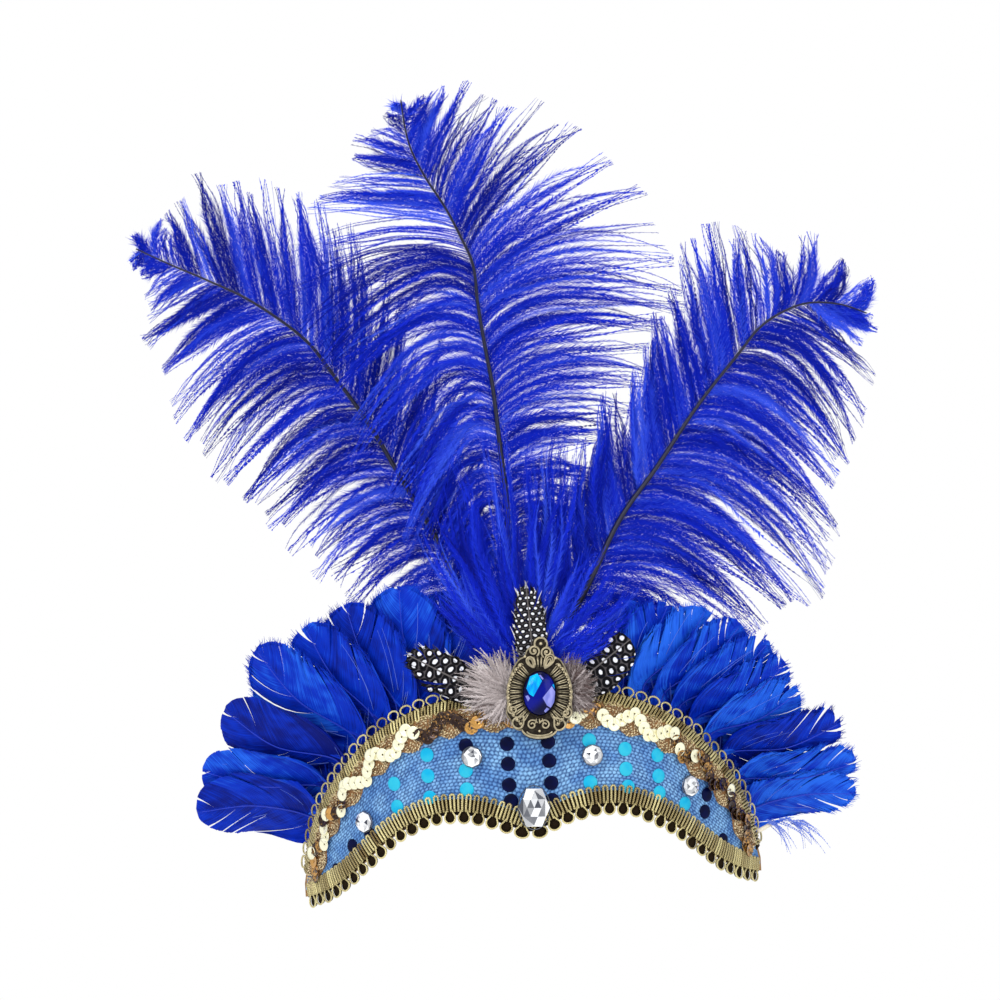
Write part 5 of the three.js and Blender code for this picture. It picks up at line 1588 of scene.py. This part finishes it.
class HeaddressTrims(bpy.types.PropertyGroup):
    weave: length("Weave", "Width of one cell of the cloth", 0.0018)
    cord: length("Gimp cord", "Thickness of the gimp's cord", 0.00098)
    sequin: length("Sequin", "Width of a sequin", 0.0055)
    sequin_pitch: length("Sequin pitch", "Distance from one sequin to the next", 0.0034)
    dot: length("Foil dot", "Width of a foil dot", 0.0058)
    cloth: colour("Cloth", "Threads of the cloth", rgb(98, 148, 208))
    cloth_light: colour("Cloth, light", "Palest threads of the cloth", rgb(144, 194, 238))
    # Painted shade in the gaps between the threads of the cloth
    cloth_gap_shade: colour("Cloth, deep", "Gaps between the threads", rgb(18, 52, 112))
    gold: colour("Gold", "Cord of the gimp", rgb(248, 234, 170))
    gold_deep: colour("Gold, deep", "Shaded cord of the gimp", rgb(104, 78, 30))
    braid: colour("Braid", "Ground of the sequin braid", rgb(182, 134, 80))
    # Darker threads of the braid, and painted shade in its gaps and between the turns of its threads
    braid_dark_and_gap_shade: colour("Braid, deep", "Gaps of the sequin braid", rgb(104, 66, 34))
    braid_light: colour("Braid, light", "Raised threads of the sequin braid", rgb(255, 232, 184))
    sequin_light: colour("Sequin, pale", "Most of the sequins", rgb(255, 250, 214))
    # Sequins worn to gold, and the gold specks painted as glints on the dark ones
    sequin_gold_and_glint: colour("Sequin, gold", "Sequins that have worn to gold", rgb(214, 158, 76))
    sequin_dark: colour("Sequin, dark", "Sequins that have worn to brown", rgb(44, 20, 10))
    dot_bright: colour("Foil, bright", "Turquoise foil dots", rgb(50, 186, 214))
    dot_dark: colour("Foil, dark", "Navy foil dots", rgb(0, 8, 58))
    bronze_light: colour("Bronze", "Raised wires of the brooch", rgb(204, 190, 156))
    # Dark bronze in the brooch's recesses, and painted shade on its plate
    bronze_recess_and_shade: colour("Bronze, deep", "Recesses of the brooch", rgb(30, 22, 14))
    sapphire: colour("Blue stone", "The brooch's stone", rgb(0, 12, 128))
    # Painted shade on the blue stone's sides, and painted cyan and lilac highlights on its facets
    sapphire_side_shade: colour("Blue stone, deep", "Its dark sides", rgb(0, 2, 52))
    sapphire_highlight: colour("Blue stone, pale", "Its pale facets", rgb(0, 186, 244))
    sapphire_lilac_highlight: colour("Blue stone, lilac", "Its lilac facets", rgb(150, 152, 226))


class HeaddressStage(bpy.types.PropertyGroup):
    tilt: bpy.props.FloatProperty(name="Camera roll", description="How far the picture is turned",
                                  subtype="ANGLE", unit="ROTATION", default=math.radians(3.3))
    distance: length("Camera distance", "How far away the camera stands", 2.0)
    frame_width: length("Frame width", "Width of the picture at the headdress", 0.4)
    power: bpy.props.FloatProperty(name="Lamp power", description="Power of the key lamp in watts",
                                   min=0, default=15.0)
    backdrop: colour("Backdrop", "Colour behind the headdress", (1.0, 1.0, 1.0, 1.0))


# Operators

class HEADDRESS_OT_plumes(bpy.types.Operator):
    """Build the three ostrich plumes and the short tuft in front of their quills"""
    bl_idname = "headdress.plumes"
    bl_label = "Ostrich plumes"

    def execute(self, context):
        looks = context.scene.headdress_feathers
        materials = ostrich_finishes(looks)
        for seed, (name, spec) in enumerate(PLUMES.items(), 3):
            ostrich_plume(name, spec, looks, materials, np.random.default_rng(seed))
        front_tuft(looks, materials, np.random.default_rng(17))
        return {"FINISHED"}


class HEADDRESS_OT_goose(bpy.types.Operator):
    """Build the fans of goose feathers at both sides of the band"""
    bl_idname = "headdress.goose"
    bl_label = "Goose feathers"

    def execute(self, context):
        looks = context.scene.headdress_feathers
        materials = goose_finishes(looks)
        for seed, rows in enumerate((GOOSE_LEFT, GOOSE_RIGHT), 31):
            goose_fan(rows, materials, np.random.default_rng(seed))
        return {"FINISHED"}


class HEADDRESS_OT_small_feathers(bpy.types.Operator):
    """Build the spotted guinea feathers and the down round the brooch"""
    bl_idname = "headdress.small_feathers"
    bl_label = "Guinea feathers and down"

    def execute(self, context):
        looks = context.scene.headdress_feathers
        rng = np.random.default_rng(41)
        materials = guinea_finishes(looks)
        for row in GUINEA_FEATHERS:
            guinea_feather(*row, materials, rng)
        down = down_finish(looks)
        for row, shade in zip(DOWN_TUFTS, (0.62, 0.34)):
            down_tuft(*row, looks, down, shade, rng)
        return {"FINISHED"}


class HEADDRESS_OT_band(bpy.types.Operator):
    """Cover the band with woven cloth and back it with felt"""
    bl_idname = "headdress.band"
    bl_label = "Band"

    def execute(self, context):
        looks = context.scene.headdress_trims
        cloth_cover(looks, cloth_finish(looks))
        felt_back(felt_finish())
        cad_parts["band_panel"].data.materials.clear()
        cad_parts["band_panel"].data.materials.append(panel_finish(looks))
        return {"FINISHED"}


class HEADDRESS_OT_braids(bpy.types.Operator):
    """Lay the gimp braids, the sequin braid and the foil dots on the band"""
    bl_idname = "headdress.braids"
    bl_label = "Braids and sequins"

    def execute(self, context):
        looks = context.scene.headdress_trims
        rng = np.random.default_rng(53)
        gold = gimp_finishes(looks)
        gimp_braid("lower_gimp", "lower_braid", LOWER_EDGE, 1, GIMP_WIDTH, 0.0, 3, looks, gold, rng)
        gimp_braid("upper_gimp", "upper_braid", UPPER_EDGE, -1, UPPER_GIMP_WIDTH, -0.3, 3, looks, gold,
                   rng)
        sequin_band(looks, sequin_finishes(looks), rng)
        bright = foil_finish("turquoise foil", looks.dot_bright, rgb(20, 170, 215))
        dark = foil_finish("navy foil", looks.dot_dark, rgb(2, 6, 40))
        foil_dots("turquoise_dots", BRIGHT_DOTS, looks, bright)
        foil_dots("navy_dots", DARK_DOTS, looks, dark)
        return {"FINISHED"}


class HEADDRESS_OT_stones(bpy.types.Operator):
    """Set the clear stones, the brooch and its blue stone"""
    bl_idname = "headdress.stones"
    bl_label = "Stones and brooch"

    def execute(self, context):
        looks = context.scene.headdress_trims
        crystals(crystal_finishes(), np.random.default_rng(67))
        brooch([bronze_finish(looks)], np.random.default_rng(61))
        brooch_stone([sapphire_finish(looks)])
        return {"FINISHED"}


def lamp(name, where, size, power):
    """A square lamp that points at the middle of the headdress."""
    data = bpy.data.lights.new(name, "AREA")
    data.energy, data.size = power, size
    made = bpy.data.objects.new(name, data)
    bpy.context.scene.collection.objects.link(made)
    made.location = where
    made.rotation_euler = (Vector(LAMP_AIM) - Vector(where)).to_track_quat("-Z", "Y").to_euler()


def pale_floor():
    mesh = bpy.data.meshes.new("floor")
    side = FLOOR_SIDE / 2
    mesh.from_pydata([(-side, -side, 0), (side, -side, 0), (side, side, 0), (-side, side, 0)], [],
                     [(0, 1, 2, 3)])
    floor = bpy.data.objects.new("floor", mesh)
    bpy.context.scene.collection.objects.link(floor)
    floor.location = (0, 0, FLOOR_HEIGHT)
    mesh.materials.append(Finish("pale floor").surface(Base_Color=(0.9, 0.9, 0.9, 1), Roughness=0.9))


def studio_world(backdrop):
    """Soft light from all round, and a plain backdrop where the camera looks past the headdress."""
    world = bpy.data.worlds.new("studio")
    world.use_nodes = True
    tree = world.node_tree
    tree.nodes.clear()
    ray = tree.nodes.new("ShaderNodeLightPath")
    seen, room = tree.nodes.new("ShaderNodeBackground"), tree.nodes.new("ShaderNodeBackground")
    seen.inputs["Color"].default_value = backdrop
    room.inputs["Color"].default_value = ROOM_LIGHT
    room.inputs["Strength"].default_value = ROOM_STRENGTH
    mix = tree.nodes.new("ShaderNodeMixShader")
    tree.links.new(ray.outputs["Is Camera Ray"], mix.inputs["Fac"])
    tree.links.new(room.outputs[0], mix.inputs[1])
    tree.links.new(seen.outputs[0], mix.inputs[2])
    tree.links.new(mix.outputs[0], tree.nodes.new("ShaderNodeOutputWorld").inputs["Surface"])
    bpy.context.scene.world = world


def picture_camera(looks):
    """A level camera in front of the headdress, rolled by the tilt."""
    camera = bpy.data.cameras.new("camera")
    camera.sensor_width = SENSOR_WIDTH
    camera.lens = SENSOR_WIDTH * looks.distance / looks.frame_width
    camera.clip_end = 20
    holder = bpy.data.objects.new("camera", camera)
    bpy.context.scene.collection.objects.link(holder)
    c, s = math.cos(looks.tilt), math.sin(looks.tilt)
    turn = Matrix(((c, s, 0, 0), (0, 0, -1, 0), (-s, c, 0, 0), (0, 0, 0, 1)))
    across, up = PICTURE_MIDDLE
    holder.matrix_world = Matrix.Translation((across, -looks.distance, up)) @ turn
    bpy.context.scene.camera = holder


class HEADDRESS_OT_stage(bpy.types.Operator):
    """Set up the pale floor, the lamps and the camera"""
    bl_idname = "headdress.stage"
    bl_label = "Stage"

    def execute(self, context):
        looks = context.scene.headdress_stage
        pale_floor()
        lamp("key", (-0.9, -1.4, 1.1), 0.9, looks.power)
        lamp("fill", (1.2, -1.3, 0.4), 1.1, looks.power * 0.45)
        lamp("top", (0.0, -0.2, 1.5), 1.0, looks.power * 0.5)
        lamp("back", (0.3, 1.3, 0.9), 1.0, looks.power * 0.4)
        studio_world(looks.backdrop)
        picture_camera(looks)
        context.scene.view_settings.view_transform = "Standard"
        return {"FINISHED"}


class HEADDRESS_PT_panel(bpy.types.Panel):
    """Lists the operators and the settings that a user would change"""
    bl_label = "Feather headdress"
    bl_idname = "HEADDRESS_PT_panel"
    bl_space_type = "VIEW_3D"
    bl_region_type = "UI"
    bl_category = "Headdress"

    def draw(self, context):
        for operator in OPERATORS:
            self.layout.operator(operator.bl_idname)
        for settings in GROUPS:
            box = self.layout.box()
            for name in GROUPS[settings].__annotations__:
                box.prop(getattr(context.scene, settings), name)


OPERATORS = (HEADDRESS_OT_plumes, HEADDRESS_OT_goose, HEADDRESS_OT_small_feathers, HEADDRESS_OT_band,
             HEADDRESS_OT_braids, HEADDRESS_OT_stones, HEADDRESS_OT_stage)
GROUPS = {
    "headdress_feathers": HeaddressFeathers,
    "headdress_trims": HeaddressTrims,
    "headdress_stage": HeaddressStage,
}


def register():
    for part in (*GROUPS.values(), *OPERATORS, HEADDRESS_PT_panel):
        bpy.utils.register_class(part)
    for name, group in GROUPS.items():
        setattr(bpy.types.Scene, name, bpy.props.PointerProperty(type=group))


def unregister():
    for name in GROUPS:
        delattr(bpy.types.Scene, name)
    for part in reversed((*GROUPS.values(), *OPERATORS, HEADDRESS_PT_panel)):
        bpy.utils.unregister_class(part)


def main():
    register()
    bpy.ops.headdress.plumes()
    bpy.ops.headdress.goose()
    bpy.ops.headdress.small_feathers()
    bpy.ops.headdress.band()
    bpy.ops.headdress.braids()
    bpy.ops.headdress.stones()
    bpy.ops.headdress.stage()
    bpy.context.view_layer.update()


if __name__ == "__main__":
    main()
